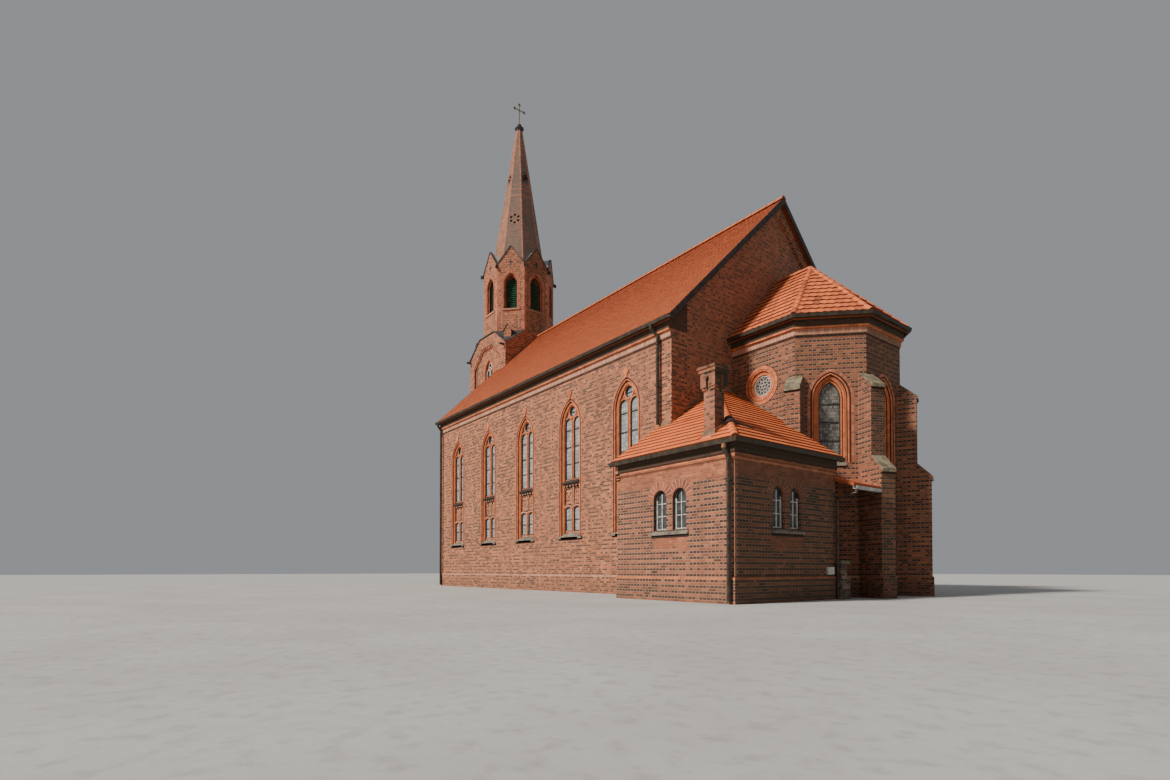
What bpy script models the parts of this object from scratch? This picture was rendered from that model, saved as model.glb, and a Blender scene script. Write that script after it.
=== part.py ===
"""A brick village church: nave, polygonal chancel, sacristy and a west tower with a spire.

Metres, +Z up. The nave runs along X with the chancel at +X and the tower at -X.
The origin is on the ground in the middle of the nave.
"""
import math

import bmesh
import bpy
from mathutils import Vector

GAP = 0.0003
DOWN = -1.0
THROUGH = -2.0
BEYOND = 1.0

# Nave
NAVE_LENGTH = 17.90
NAVE_WIDTH = 11.74
NAVE_WALL = 0.74
NAVE_GABLE_WALL = 0.64
GABLE_RECESS = 0.12
EAVE_HEIGHT = 9.095
EAVE_OVERHANG = 0.22
RIDGE_HEIGHT = 15.05
ROOF_THICKNESS = 0.20
VERGE_OVERHANG = 0.18
GABLE_BAND = 0.42
FLOOR_HEIGHT = 0.30

# Bands that run round every wall
PLINTH_HEIGHT = 0.673
PLINTH_BEVEL = 0.055
PLINTH_PROJECTION = 0.05

# String course and cornice: how far they stand out and their heights below the eave
STRING_BOTTOM = 0.625
STRING_TOP = 0.435
STRING_PROJECTION = 0.04
CORNICE_BOTTOM = 0.395
CORNICE_PROJECTION = 0.12
SACRISTY_STRING_BOTTOM = 0.477
SACRISTY_STRING_TOP = 0.397
SACRISTY_STRING_PROJECTION = 0.05
SACRISTY_CORNICE_BOTTOM = 0.377
SACRISTY_CORNICE_PROJECTION = 0.07

# Gutters hung on the edge of the roof, heights measured down from the eave
GUTTER_REACH = 0.13
GUTTER_TAPER = 0.02
GUTTER_SHEET = 0.015
GUTTER_RIM = 0.04
GUTTER_BOTTOM = 0.15

# Tall nave windows
WINDOW_COUNT = 5
WINDOW_PITCH = 3.41
WINDOW_OFFSET = -0.10
WINDOW_SILL = 2.20
WINDOW_SPRING = 6.61
WINDOW_HALF = 0.70
WINDOW_ARC_OFFSET = 0.4375
WINDOW_ORDER = 0.13
FIRST_ORDER_DEPTH = 0.07
TRACERY_DEPTH = 0.145
TRACERY_THICKNESS = 0.15
LIGHT_HALF = 0.2225
LIGHT_CENTRE = 0.29
UPPER_LIGHT_SILL = 4.50
UPPER_LIGHT_SPRING = 6.75
BLIND_PANEL_BOTTOM = 3.52
BLIND_PANEL_SPRING = 3.98
BLIND_PANEL_ARC_OFFSET = 0.06
BLIND_PANEL_DEPTH = 0.03
LOWER_LIGHT_SILL = 2.43
LOWER_LIGHT_SPRING = 3.32
LOWER_LIGHT_RISE = 0.08
ROUNDEL_HEIGHT = 7.19
ROUNDEL_RADIUS = 0.21
GLASS_THICKNESS = 0.012
GLASS_DROP = 1.1

# Chancel: a straight bay and three sides of an octagon
CHANCEL_STRAIGHT = 2.40
CHANCEL_SIDE = 2.20
CHANCEL_WALL = 0.60
CHANCEL_WINDOW_HALF = 0.60
CHANCEL_WINDOW_SILL = 4.30
CHANCEL_WINDOW_SPRING = 6.42
CHANCEL_WINDOW_ARC_OFFSET = 0.25
CHANCEL_ORDER = 0.13
CHANCEL_LIGHT_HALF = 0.34
OCULUS_ALONG = 1.08
OCULUS_HEIGHT = 7.17
OCULUS_RADIUS = 0.54
OCULUS_LIGHT_RADIUS = 0.36
ARCH_HALF = 1.70
ARCH_SPRING = 5.20
ARCH_OFFSET = 0.90

# Buttresses on the corners of the chancel
BUTTRESS_HALF = 0.25
BUTTRESS_UPPER_DEPTH = 0.50
BUTTRESS_LOWER_DEPTH = 0.92
BUTTRESS_TOP = 7.12
BUTTRESS_TOP_EDGE = 6.66
BUTTRESS_SET_OFF = 4.42
BUTTRESS_SET_OFF_EDGE = 3.95
WEATHERING_OVERHANG = 0.05
WEATHERING_EDGE = 0.10
BUTTRESS_FOOT = 0.05

# Sacristy
SACRISTY_LAP = 0.47
SACRISTY_LENGTH = 4.56
SACRISTY_REACH = 1.90
SACRISTY_DEPTH = 4.58
SACRISTY_WALL = 0.38
SACRISTY_EAVE = 4.197
SACRISTY_OVERHANG = 0.143
SACRISTY_VERGE = 0.11
SACRISTY_SLOPE = 0.688
SACRISTY_ROOF_THICKNESS = 0.15
SACRISTY_WINDOW_HALF = 0.26
SACRISTY_WINDOW_SILL = 1.98
SACRISTY_WINDOW_SPRING = 2.88
SACRISTY_WINDOW_SPACING = 0.76
SACRISTY_WINDOW_NICHE = 0.10
FRONT_WINDOWS_FROM_CORNER = 2.29
EAST_WINDOWS_FROM_CORNER = 2.22
SACRISTY_FLOOR = 0.25
DOOR_HALF = 0.31
DOOR_HEIGHT = 2.15
DOOR_THICKNESS = 0.06
NORTH_DOOR_FROM_CORNER = 0.72

# Chimney on the sacristy roof
CHIMNEY_SIDE = 0.38
CHIMNEY_FROM_EAST = 0.85
CHIMNEY_FROM_FRONT = 0.25
CHIMNEY_TOP = 6.33
CHIMNEY_NECK = 5.67
CHIMNEY_CORBEL = 0.035
CHIMNEY_HEAD = 0.065
CHIMNEY_SLAB = 0.10
CHIMNEY_CAP = 0.135
CHIMNEY_LANCET_HALF = 0.05
CHIMNEY_LANCET_SPRING = 5.97
CHIMNEY_FLUE = 0.13
CHIMNEY_BASE = 3.30

# Small porch roof between the sacristy and the second buttress
PORCH_REACH = 0.58
PORCH_SLOPE = 0.32
PORCH_HEIGHT = 3.585
PORCH_THICKNESS = 0.10
PORCH_GUTTER = 0.09
PORCH_GUTTER_SHEET = 0.012
PORCH_PIPE_RADIUS = 0.04
PIER_WIDTH = 0.30
PIER_HEIGHT = 1.14
PIER_CAP = 0.09
PIER_STEP = 0.07
PIER_REACH = 0.14

# Tower
TOWER_LAP = 0.76
TOWER_HALF = 2.28
TOWER_WALL = 0.90
TOWER_SHOULDER = 14.25
TOWER_TOP = 15.25
TOWER_SHOULDER_HALF = 0.90
PANEL_HALF = 1.67
PANEL_DEPTH = 0.12
PANEL_BOTTOM = 9.00
PANEL_SHOULDER = 13.70
PANEL_TOP = 14.62
PANEL_TOP_HALF = 0.60
TOWER_WINDOW_HALF = 0.56
TOWER_WINDOW_SILL = 11.70
TOWER_WINDOW_SPRING = 13.02
TOWER_LIGHT_HALF = 0.16
TOWER_LIGHT_CENTRE = 0.23
PORTAL_HALF = 0.95
PORTAL_SPRING = 2.15
TOWER_ARCH_HALF = 1.10
TOWER_ARCH_SPRING = 3.20
WEST_WINDOW_SILL = 5.20
WEST_WINDOW_SPRING = 7.40
PINNACLE_FACE = 2.78
PINNACLE_HALF = 0.215
PINNACLE_BOTTOM = 14.0
PINNACLE_EAVE = 15.12
PINNACLE_TOP = 15.46

# Belfry and spire
BELFRY_APOTHEM = 2.06
BELFRY_WALL = 0.61
GABLET_WALL = 0.30
GABLET_FOOT = 19.37
GABLET_TOP = 20.50
GABLET_ROOF_INSETS = (0.012, 0.03)
GABLET_ROOF_STEP = 0.013
SPIRE_SEAT = 19.28
BELFRY_WINDOW_HALF = 0.36
BELFRY_WINDOW_SILL = 16.75
BELFRY_WINDOW_SPRING = 18.22
BELFRY_ARC_OFFSET = 0.30
BELFRY_ORDER = 0.12
LOUVRE_SHEET = 0.04
LOUVRE_FOOT = 0.10
LOUVRE_HEAD = 0.70
SPIRE_APOTHEM = 1.63
SPIRE_TOP = 28.95
SPIRE_TOP_APOTHEM = 0.19
SPIRE_WALL = 0.18
SPIRE_TOP_WALL = 0.08
ROSETTE_HEIGHT = 22.72
ROSETTE_LOBES = 6
ROSETTE_LOBE_RADIUS = 0.09
ROSETTE_SPREAD = 0.26
QUATREFOIL_HEIGHT = 25.65
QUATREFOIL_LOBE_RADIUS = 0.085
QUATREFOIL_SPREAD = 0.14
CAP_HEIGHT = 0.50
CROSS_TOP = 30.80
CROSS_SPAN = 0.88
CROSS_BAR = 0.05

# Downpipes
PIPE_RADIUS = 0.06
PIPE_CLEARANCE = 0.12
PIPE_FOOT = 0.05
EAST_PIPE_INSET = 0.52
EAST_OUTLET_INSET = 0.66
WEST_PIPE_INSET = 0.14
WEST_OUTLET_INSET = 0.14
NECK_START = 0.14
NECK_END = 0.35
SACRISTY_PIPE_INSET = 0.09
SACRISTY_OUTLET_INSET = 0.16
SACRISTY_NECK_START = 0.10
SACRISTY_NECK_END = 0.36

ARC_STEPS = 5
LIGHT_STEPS = 3
ROUND_SIDES = 10

HALF_LENGTH = NAVE_LENGTH / 2
HALF_WIDTH = NAVE_WIDTH / 2
NAVE_SLOPE = (RIDGE_HEIGHT - EAVE_HEIGHT) / (HALF_WIDTH + EAVE_OVERHANG)
GABLE_FACE = HALF_LENGTH - GABLE_RECESS
DIAGONAL = CHANCEL_SIDE / math.sqrt(2)
CHANCEL_HALF = CHANCEL_SIDE / 2 + DIAGONAL
CHANCEL_CORNER = HALF_LENGTH + CHANCEL_STRAIGHT
CHANCEL_END = CHANCEL_CORNER + DIAGONAL
TOWER_X = -(HALF_LENGTH - TOWER_LAP + TOWER_HALF)
SACRISTY_WEST = HALF_LENGTH - SACRISTY_LAP
SACRISTY_EAST = SACRISTY_WEST + SACRISTY_LENGTH
SACRISTY_FRONT = -HALF_WIDTH - SACRISTY_REACH
SACRISTY_NORTH = SACRISTY_FRONT + SACRISTY_DEPTH
NORTH_DOOR_X = SACRISTY_EAST - NORTH_DOOR_FROM_CORNER
CHIMNEY_EAST = SACRISTY_EAST - CHIMNEY_FROM_EAST
CHIMNEY_SOUTH = SACRISTY_FRONT + CHIMNEY_FROM_FRONT
PORCH_EAST = SACRISTY_EAST + PORCH_REACH
PIER_EAST = SACRISTY_EAST + PIER_REACH


def clear_scene():
    for item in list(bpy.data.objects):
        bpy.data.objects.remove(item, do_unlink=True)


def material(name, colour, roughness, metallic=0.0):
    finish = bpy.data.materials.new(name)
    finish.use_nodes = True
    shader = finish.node_tree.nodes["Principled BSDF"]
    shader.inputs["Base Color"].default_value = (*colour, 1.0)
    shader.inputs["Roughness"].default_value = roughness
    shader.inputs["Metallic"].default_value = metallic
    return finish


def finish_mesh(name, bm, finish):
    """Turn a bmesh into a named object with its faces pointing out."""
    bmesh.ops.recalc_face_normals(bm, faces=bm.faces)
    mesh = bpy.data.meshes.new(name)
    bm.to_mesh(mesh)
    bm.free()
    part = bpy.data.objects.new(name, mesh)
    bpy.context.scene.collection.objects.link(part)
    if finish is not None:
        mesh.materials.append(finish)
    return part


class Face:
    """A vertical plane: a start point, a direction along it and the outward normal."""

    def __init__(self, start, end):
        self.start = Vector((start[0], start[1], 0.0))
        run = Vector((end[0], end[1], 0.0)) - self.start
        self.length = run.length
        self.along = run.normalized()
        self.out = Vector((self.along.y, -self.along.x, 0.0))

    def point(self, along, height, out=0.0):
        return self.start + self.along * along + self.out * out + Vector((0.0, 0.0, height))


def add_prism(bm, face, outline, inner, outer):
    """Extrude an outline of (along, height) points from one offset to another."""
    near = [bm.verts.new(face.point(a, h, outer)) for a, h in outline]
    far = [bm.verts.new(face.point(a, h, inner)) for a, h in outline]
    bm.faces.new(near)
    bm.faces.new(list(reversed(far)))
    count = len(outline)
    for i in range(count):
        j = (i + 1) % count
        bm.faces.new((near[i], far[i], far[j], near[j]))


def add_column(bm, outline, bottom, top):
    """Extrude a plan outline of (x, y) points upwards."""
    low = [bm.verts.new((x, y, bottom)) for x, y in outline]
    high = [bm.verts.new((x, y, top)) for x, y in outline]
    bm.faces.new(list(reversed(low)))
    bm.faces.new(high)
    count = len(outline)
    for i in range(count):
        j = (i + 1) % count
        bm.faces.new((low[i], low[j], high[j], high[i]))


def prism(name, face, outline, inner, outer, finish):
    bm = bmesh.new()
    add_prism(bm, face, outline, inner, outer)
    return finish_mesh(name, bm, finish)


def column(name, outline, bottom, top, finish):
    bm = bmesh.new()
    add_column(bm, outline, bottom, top)
    return finish_mesh(name, bm, finish)


def cut(target, name, fill, operation="DIFFERENCE"):
    """Cut a hidden solid, drawn by fill(bm), out of the target or join it on."""
    bm = bmesh.new()
    fill(bm)
    cutter = finish_mesh(name, bm, None)
    cutter.hide_render = True
    cutter.display_type = "WIRE"
    boolean = target.modifiers.new(name, "BOOLEAN")
    boolean.operation = operation
    boolean.solver = "EXACT"
    boolean.object = cutter
    return boolean


def arch_outline(centre, half, sill, spring, arc_offset, steps=ARC_STEPS):
    """A pointed arch whose two arcs are centred arc_offset past the middle."""
    radius = half + arc_offset
    apex_angle = math.acos(arc_offset / radius)
    right = []
    for i in range(steps + 1):
        angle = apex_angle * i / steps
        right.append((centre - arc_offset + radius * math.cos(angle), spring + radius * math.sin(angle)))
    left = [(2 * centre - a, h) for a, h in reversed(right[:-1])]
    return [(centre - half, sill), (centre + half, sill)] + right + left


def round_outline(centre, height, radius, sides=ROUND_SIDES):
    turn = math.tau / sides
    return [(centre + radius * math.cos(turn * (i + 0.5)), height + radius * math.sin(turn * (i + 0.5)))
            for i in range(sides)]


def normal_of(a, b):
    run = Vector((b[0] - a[0], b[1] - a[1])).normalized()
    return Vector((run.y, -run.x))


def mitres(path, closed):
    """At each corner, the vector that moves a point one unit out of both walls."""
    count = len(path)
    result = []
    for i in range(count):
        before = normal_of(path[i - 1], path[i]) if closed or i > 0 else None
        after = normal_of(path[i], path[(i + 1) % count]) if closed or i < count - 1 else None
        before = before or after
        after = after or before
        result.append((before + after) / (1.0 + before.dot(after)))
    return result


def add_swept(bm, rings, closed):
    loops = [[bm.verts.new(p) for p in ring] for ring in rings]
    size = len(loops[0])
    spans = len(loops) if closed else len(loops) - 1
    for k in range(spans):
        a, b = loops[k], loops[(k + 1) % len(loops)]
        for i in range(size):
            j = (i + 1) % size
            bm.faces.new((a[i], b[i], b[j], a[j]))
    if not closed:
        bm.faces.new(loops[0])
        bm.faces.new(list(reversed(loops[-1])))


def sweep(name, path, profile, finish, closed=False):
    """Carry a profile of (out, height) points along a plan path with mitred corners."""
    bm = bmesh.new()
    rings = []
    for point, mitre in zip(path, mitres(path, closed)):
        rings.append([(point[0] + mitre.x * o, point[1] + mitre.y * o, h) for o, h in profile])
    add_swept(bm, rings, closed)
    return finish_mesh(name, bm, finish)


def wall_run(names, path, profile, finish):
    """One wall for each stretch of the path, mitred at the corners, a hair apart."""
    walls = {}
    corner = mitres(path, False)
    for i, name in enumerate(names):
        bm = bmesh.new()
        run = Vector((path[i + 1][0] - path[i][0], path[i + 1][1] - path[i][1])).normalized()
        rings = []
        for k, shift in ((i, GAP), (i + 1, -GAP)):
            base = Vector(path[k]) + run * shift
            rings.append([(base.x + corner[k].x * o, base.y + corner[k].y * o, h) for o, h in profile])
        add_swept(bm, rings, False)
        walls[name] = finish_mesh(name, bm, finish)
    return walls


def roof_under(eave, overhang, slope, thickness, out):
    """Height of the underside of a roof at a distance out from the wall face."""
    return eave - thickness + slope * (overhang - out)


def wall_profile(thickness, eave, string, cornice, under):
    """Plinth, face, string course and cornice, with a top that lies under the roof slope."""
    string_bottom, string_top, string_out = string
    cornice_bottom, cornice_out = cornice
    return [(PLINTH_PROJECTION, 0.0), (PLINTH_PROJECTION, PLINTH_HEIGHT - PLINTH_BEVEL),
            (0.0, PLINTH_HEIGHT), (0.0, eave - string_bottom - string_out), (string_out, eave - string_bottom),
            (string_out, eave - string_top), (cornice_out, eave - cornice_bottom),
            (cornice_out, under(cornice_out) - 2 * GAP), (-thickness, under(-thickness) - 2 * GAP),
            (-thickness, 0.0)]


def nave_under(out):
    return roof_under(EAVE_HEIGHT, EAVE_OVERHANG, NAVE_SLOPE, ROOF_THICKNESS, out)


def nave_profile(thickness):
    string = (STRING_BOTTOM, STRING_TOP, STRING_PROJECTION)
    return wall_profile(thickness, EAVE_HEIGHT, string, (CORNICE_BOTTOM, CORNICE_PROJECTION), nave_under)


def sacristy_under(out):
    return roof_under(SACRISTY_EAVE, SACRISTY_OVERHANG, SACRISTY_SLOPE, SACRISTY_ROOF_THICKNESS, out)


def gutter_profile(eave, overhang):
    """An open trough hung a hair off the vertical edge of the roof."""
    back = overhang + GAP
    front = back + GUTTER_REACH
    rim = eave - GUTTER_RIM
    bottom = eave - GUTTER_BOTTOM
    sheet = GUTTER_SHEET
    return [(back, bottom), (front - GUTTER_TAPER, bottom), (front, rim), (front - sheet, rim),
            (front - GUTTER_TAPER - sheet, bottom + sheet), (back + sheet, bottom + sheet),
            (back + sheet, rim), (back, rim)]


def cut_window(wall, face, label, centres, half, sill, spring, arc_offset, order, niche, screen, lights):
    """A stepped recess, through lights and an inner reveal for each window of a wall."""
    def first(bm):
        for c in centres:
            add_prism(bm, face, arch_outline(c, half, sill, spring, arc_offset), -niche[0], 1.0)

    def second(bm):
        for c in centres:
            outline = arch_outline(c, half - order, sill + order / 2, spring, arc_offset)
            add_prism(bm, face, outline, -niche[1], 1.0)

    def through(bm):
        for c in centres:
            for outline in lights(c):
                add_prism(bm, face, outline, -niche[1] - screen - 0.01, 1.0)

    def inside(bm):
        for c in centres:
            outline = arch_outline(c, half - order, sill + order / 2, spring, arc_offset)
            add_prism(bm, face, outline, THROUGH, -niche[1] - screen)

    cut(wall, label + "_first_order", first)
    cut(wall, label + "_second_order", second)
    cut(wall, label + "_inner_reveal", inside)
    cut(wall, label + "_lights", through)


def low_arch_outline(centre, half, sill, spring, rise):
    """A nearly flat head: half an ellipse, low and wide."""
    crown = [(centre + half * math.cos(math.pi * i / ARC_STEPS), spring + rise * math.sin(math.pi * i / ARC_STEPS))
             for i in range(ARC_STEPS + 1)]
    return [(centre - half, sill), (centre + half, sill)] + crown


def nave_lights(c):
    """Two round-headed lights and a roundel above, and two short lights below."""
    outlines = [round_outline(c, ROUNDEL_HEIGHT, ROUNDEL_RADIUS)]
    for side in (-1, 1):
        centre = c + side * LIGHT_CENTRE
        outlines.append(arch_outline(centre, LIGHT_HALF, UPPER_LIGHT_SILL, UPPER_LIGHT_SPRING, 0.0, LIGHT_STEPS))
        outlines.append(low_arch_outline(centre, LIGHT_HALF, LOWER_LIGHT_SILL, LOWER_LIGHT_SPRING,
                                         LOWER_LIGHT_RISE))
    return outlines


def blind_panels(bm, face, centres):
    """Shallow pointed panels between the upper and the lower lights."""
    for c in centres:
        for side in (-1, 1):
            outline = arch_outline(c + side * LIGHT_CENTRE, LIGHT_HALF, BLIND_PANEL_BOTTOM, BLIND_PANEL_SPRING,
                                   BLIND_PANEL_ARC_OFFSET, LIGHT_STEPS)
            add_prism(bm, face, outline, -TRACERY_DEPTH - BLIND_PANEL_DEPTH, BEYOND)


def nave_long_walls(brick, glass):
    profile = nave_profile(NAVE_WALL)
    centres = [HALF_LENGTH + WINDOW_OFFSET + WINDOW_PITCH * (i - (WINDOW_COUNT - 1) / 2)
               for i in range(WINDOW_COUNT)]
    ends = {"front": ((-HALF_LENGTH, -HALF_WIDTH), (HALF_LENGTH, -HALF_WIDTH)),
            "back": ((HALF_LENGTH, HALF_WIDTH), (-HALF_LENGTH, HALF_WIDTH))}
    for side, (start, end) in ends.items():
        name = "nave_" + side + "_wall"
        wall = sweep(name, (start, end), profile, brick)
        face = Face(start, end)
        places = centres if side == "front" else [NAVE_LENGTH - c for c in centres]
        cut_window(wall, face, name, places, WINDOW_HALF, WINDOW_SILL, WINDOW_SPRING, WINDOW_ARC_OFFSET,
                   WINDOW_ORDER, (FIRST_ORDER_DEPTH, TRACERY_DEPTH), TRACERY_THICKNESS, nave_lights)
        cut(wall, name + "_blind_panels", lambda bm, f=face, p=places: blind_panels(bm, f, p))
        left = min(places) - WINDOW_HALF
        right = max(places) + WINDOW_HALF
        top = EAVE_HEIGHT - GLASS_DROP
        sheet = [(left, WINDOW_SILL), (right, WINDOW_SILL), (right, top), (left, top)]
        prism("nave_" + side + "_glass", face, sheet, -NAVE_WALL - GLASS_THICKNESS - GAP,
              -NAVE_WALL - GAP, glass)


def rake(y):
    """Top of the gable walls, just under the nave roof."""
    return nave_under(abs(y) - HALF_WIDTH) - 2 * GAP


def nave_gables(brick):
    """The gable walls stand between the long walls, which run the whole length."""
    inner = HALF_WIDTH - NAVE_WALL - GAP
    east = Face((HALF_LENGTH, 0.0), (HALF_LENGTH, 1.0))
    outline = [(-inner, 0.0), (inner, 0.0), (inner, rake(inner)), (0.0, rake(0.0)), (-inner, rake(inner))]
    gable = prism("nave_east_gable", east, outline, -NAVE_GABLE_WALL, 0.0, brick)
    field = [(-HALF_WIDTH, DOWN), (HALF_WIDTH, DOWN), (HALF_WIDTH, rake(HALF_WIDTH) - GABLE_BAND),
             (0.0, rake(0.0) - GABLE_BAND), (-HALF_WIDTH, rake(HALF_WIDTH) - GABLE_BAND)]
    cut(gable, "gable_field", lambda bm: add_prism(bm, east, field, -GABLE_RECESS, BEYOND))
    arch = arch_outline(0.0, ARCH_HALF, FLOOR_HEIGHT, ARCH_SPRING, ARCH_OFFSET)
    cut(gable, "chancel_arch", lambda bm: add_prism(bm, east, arch, THROUGH, BEYOND))

    west = Face((-HALF_LENGTH, 0.0), (-HALF_LENGTH, -1.0))
    tower_side = TOWER_HALF + GAP
    for name, sign in (("nave_west_wall_south", 1), ("nave_west_wall_north", -1)):
        half = [(tower_side, 0.0), (inner, 0.0), (inner, rake(inner)), (tower_side, rake(tower_side))]
        prism(name, west, [(sign * a, h) for a, h in half], -NAVE_GABLE_WALL, 0.0, brick)


def square(x, y, half):
    return [(x - half, y - half), (x + half, y - half), (x + half, y + half), (x - half, y + half)]


def nave_roof(tiles):
    edge = HALF_WIDTH + EAVE_OVERHANG
    outline = [(-edge, EAVE_HEIGHT), (-edge, EAVE_HEIGHT - ROOF_THICKNESS), (0.0, RIDGE_HEIGHT - ROOF_THICKNESS),
               (edge, EAVE_HEIGHT - ROOF_THICKNESS), (edge, EAVE_HEIGHT), (0.0, RIDGE_HEIGHT)]
    face = Face((HALF_LENGTH, 0.0), (HALF_LENGTH, 1.0))
    roof = prism("nave_roof", face, outline, -NAVE_LENGTH - VERGE_OVERHANG, VERGE_OVERHANG, tiles)
    notch = [(TOWER_X, -TOWER_HALF - GAP), (TOWER_X + TOWER_HALF + GAP, -TOWER_HALF - GAP),
             (TOWER_X + TOWER_HALF + GAP, TOWER_HALF + GAP), (TOWER_X, TOWER_HALF + GAP)]
    cut(roof, "tower_notch", lambda bm: add_column(bm, notch, EAVE_HEIGHT, RIDGE_HEIGHT + 1.0))


def nave_eaves(gutter_finish):
    profile = gutter_profile(EAVE_HEIGHT, EAVE_OVERHANG)
    reach = HALF_LENGTH + VERGE_OVERHANG
    sweep("nave_front_eaves", ((-reach, -HALF_WIDTH), (reach, -HALF_WIDTH)), profile, gutter_finish)
    sweep("nave_back_eaves", ((reach, HALF_WIDTH), (-reach, HALF_WIDTH)), profile, gutter_finish)


def nave_floor(stone):
    x = HALF_LENGTH - NAVE_GABLE_WALL - GAP
    y = HALF_WIDTH - NAVE_WALL - GAP
    west = TOWER_X + TOWER_HALF + GAP
    side = TOWER_HALF + GAP
    outline = [(-x, -y), (x, -y), (x, y), (-x, y), (-x, side), (west, side), (west, -side), (-x, -side)]
    column("nave_floor", outline, 0.0, FLOOR_HEIGHT, stone)


def chancel_path():
    return [(GABLE_FACE + GAP, -CHANCEL_HALF), (CHANCEL_CORNER, -CHANCEL_HALF),
            (CHANCEL_END, -CHANCEL_SIDE / 2), (CHANCEL_END, CHANCEL_SIDE / 2),
            (CHANCEL_CORNER, CHANCEL_HALF), (GABLE_FACE + GAP, CHANCEL_HALF)]


def chancel_walls(brick, glass):
    path = chancel_path()
    names = ("chancel_south_wall", "chancel_southeast_wall", "chancel_east_wall",
             "chancel_northeast_wall", "chancel_north_wall")
    profile = nave_profile(CHANCEL_WALL)
    walls = wall_run(names, path, profile, brick)
    for i, name in enumerate(names):
        face = Face(path[i], path[i + 1])
        if i in (1, 2, 3):
            cut_window(walls[name], face, name, (face.length / 2,), CHANCEL_WINDOW_HALF, CHANCEL_WINDOW_SILL,
                       CHANCEL_WINDOW_SPRING, CHANCEL_WINDOW_ARC_OFFSET, CHANCEL_ORDER,
                       (FIRST_ORDER_DEPTH, TRACERY_DEPTH), TRACERY_THICKNESS, chancel_light)
        else:
            along = OCULUS_ALONG + GABLE_RECESS if i == 0 else face.length - OCULUS_ALONG - GABLE_RECESS
            ring = round_outline(along, OCULUS_HEIGHT, OCULUS_RADIUS, 2 * ROUND_SIDES)
            light = round_outline(along, OCULUS_HEIGHT, OCULUS_LIGHT_RADIUS, 2 * ROUND_SIDES)
            cut(walls[name], name + "_ring",
                lambda bm, f=face, r=ring: add_prism(bm, f, r, -FIRST_ORDER_DEPTH, 1.0))
            cut(walls[name], name + "_light", lambda bm, f=face, r=light: add_prism(bm, f, r, -2.0, 1.0))
    inner = -CHANCEL_WALL - GAP
    bottom = CHANCEL_WINDOW_SILL
    top = OCULUS_HEIGHT + OCULUS_RADIUS
    sheet = [(inner, bottom), (inner, top), (inner - GLASS_THICKNESS, top), (inner - GLASS_THICKNESS, bottom)]
    inside = list(path)
    inside[0] = (HALF_LENGTH, path[0][1])
    inside[-1] = (HALF_LENGTH, path[-1][1])
    sweep("chancel_glass", inside, sheet, glass)


def chancel_light(c):
    return [arch_outline(c, CHANCEL_LIGHT_HALF, CHANCEL_WINDOW_SILL + 0.2, CHANCEL_WINDOW_SPRING,
                         CHANCEL_WINDOW_ARC_OFFSET, ARC_STEPS)]


def buttress(name, corner, direction, brick):
    """Two stages with sloping stone set-offs, notched to sit on the wall corner."""
    side = Vector((-direction.y, direction.x))
    tip = Vector(corner) + direction
    face = Face(corner, tip)
    back = -0.3
    outline = [(back, 0.0), (BUTTRESS_LOWER_DEPTH + BUTTRESS_FOOT, 0.0),
               (BUTTRESS_LOWER_DEPTH + BUTTRESS_FOOT, PLINTH_HEIGHT - PLINTH_BEVEL),
               (BUTTRESS_LOWER_DEPTH, PLINTH_HEIGHT),
               (BUTTRESS_LOWER_DEPTH, BUTTRESS_SET_OFF_EDGE - WEATHERING_EDGE),
               (BUTTRESS_LOWER_DEPTH + WEATHERING_OVERHANG, BUTTRESS_SET_OFF_EDGE - WEATHERING_EDGE),
               (BUTTRESS_LOWER_DEPTH + WEATHERING_OVERHANG, BUTTRESS_SET_OFF_EDGE),
               (BUTTRESS_UPPER_DEPTH, BUTTRESS_SET_OFF),
               (BUTTRESS_UPPER_DEPTH, BUTTRESS_TOP_EDGE - WEATHERING_EDGE),
               (BUTTRESS_UPPER_DEPTH + WEATHERING_OVERHANG, BUTTRESS_TOP_EDGE - WEATHERING_EDGE),
               (BUTTRESS_UPPER_DEPTH + WEATHERING_OVERHANG, BUTTRESS_TOP_EDGE),
               (0.0, BUTTRESS_TOP), (back, BUTTRESS_TOP)]
    body = prism(name, face, outline, -BUTTRESS_HALF, BUTTRESS_HALF, brick)

    def corner_wedge(bm, clearance, bottom, top):
        spread = 2.0
        fall = spread * math.tan(math.pi / 8)
        base = Vector(corner) + direction * clearance
        points = [base, base - direction * fall + side * spread, base - direction * 3 + side * spread,
                  base - direction * 3 - side * spread, base - direction * fall - side * spread]
        add_column(bm, [(p.x, p.y) for p in points], bottom, top)

    step = PLINTH_PROJECTION / math.cos(math.pi / 8)
    cut(body, name + "_on_wall", lambda bm: corner_wedge(bm, 2 * GAP, DOWN, EAVE_HEIGHT))
    cut(body, name + "_on_plinth", lambda bm: corner_wedge(bm, step + 2 * GAP, DOWN, PLINTH_HEIGHT + GAP))


def chancel_buttresses(brick):
    path = chancel_path()
    for i in range(1, 5):
        mitre = mitres(path, False)[i].normalized()
        buttress("buttress_" + str(i), path[i], mitre, brick)


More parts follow.
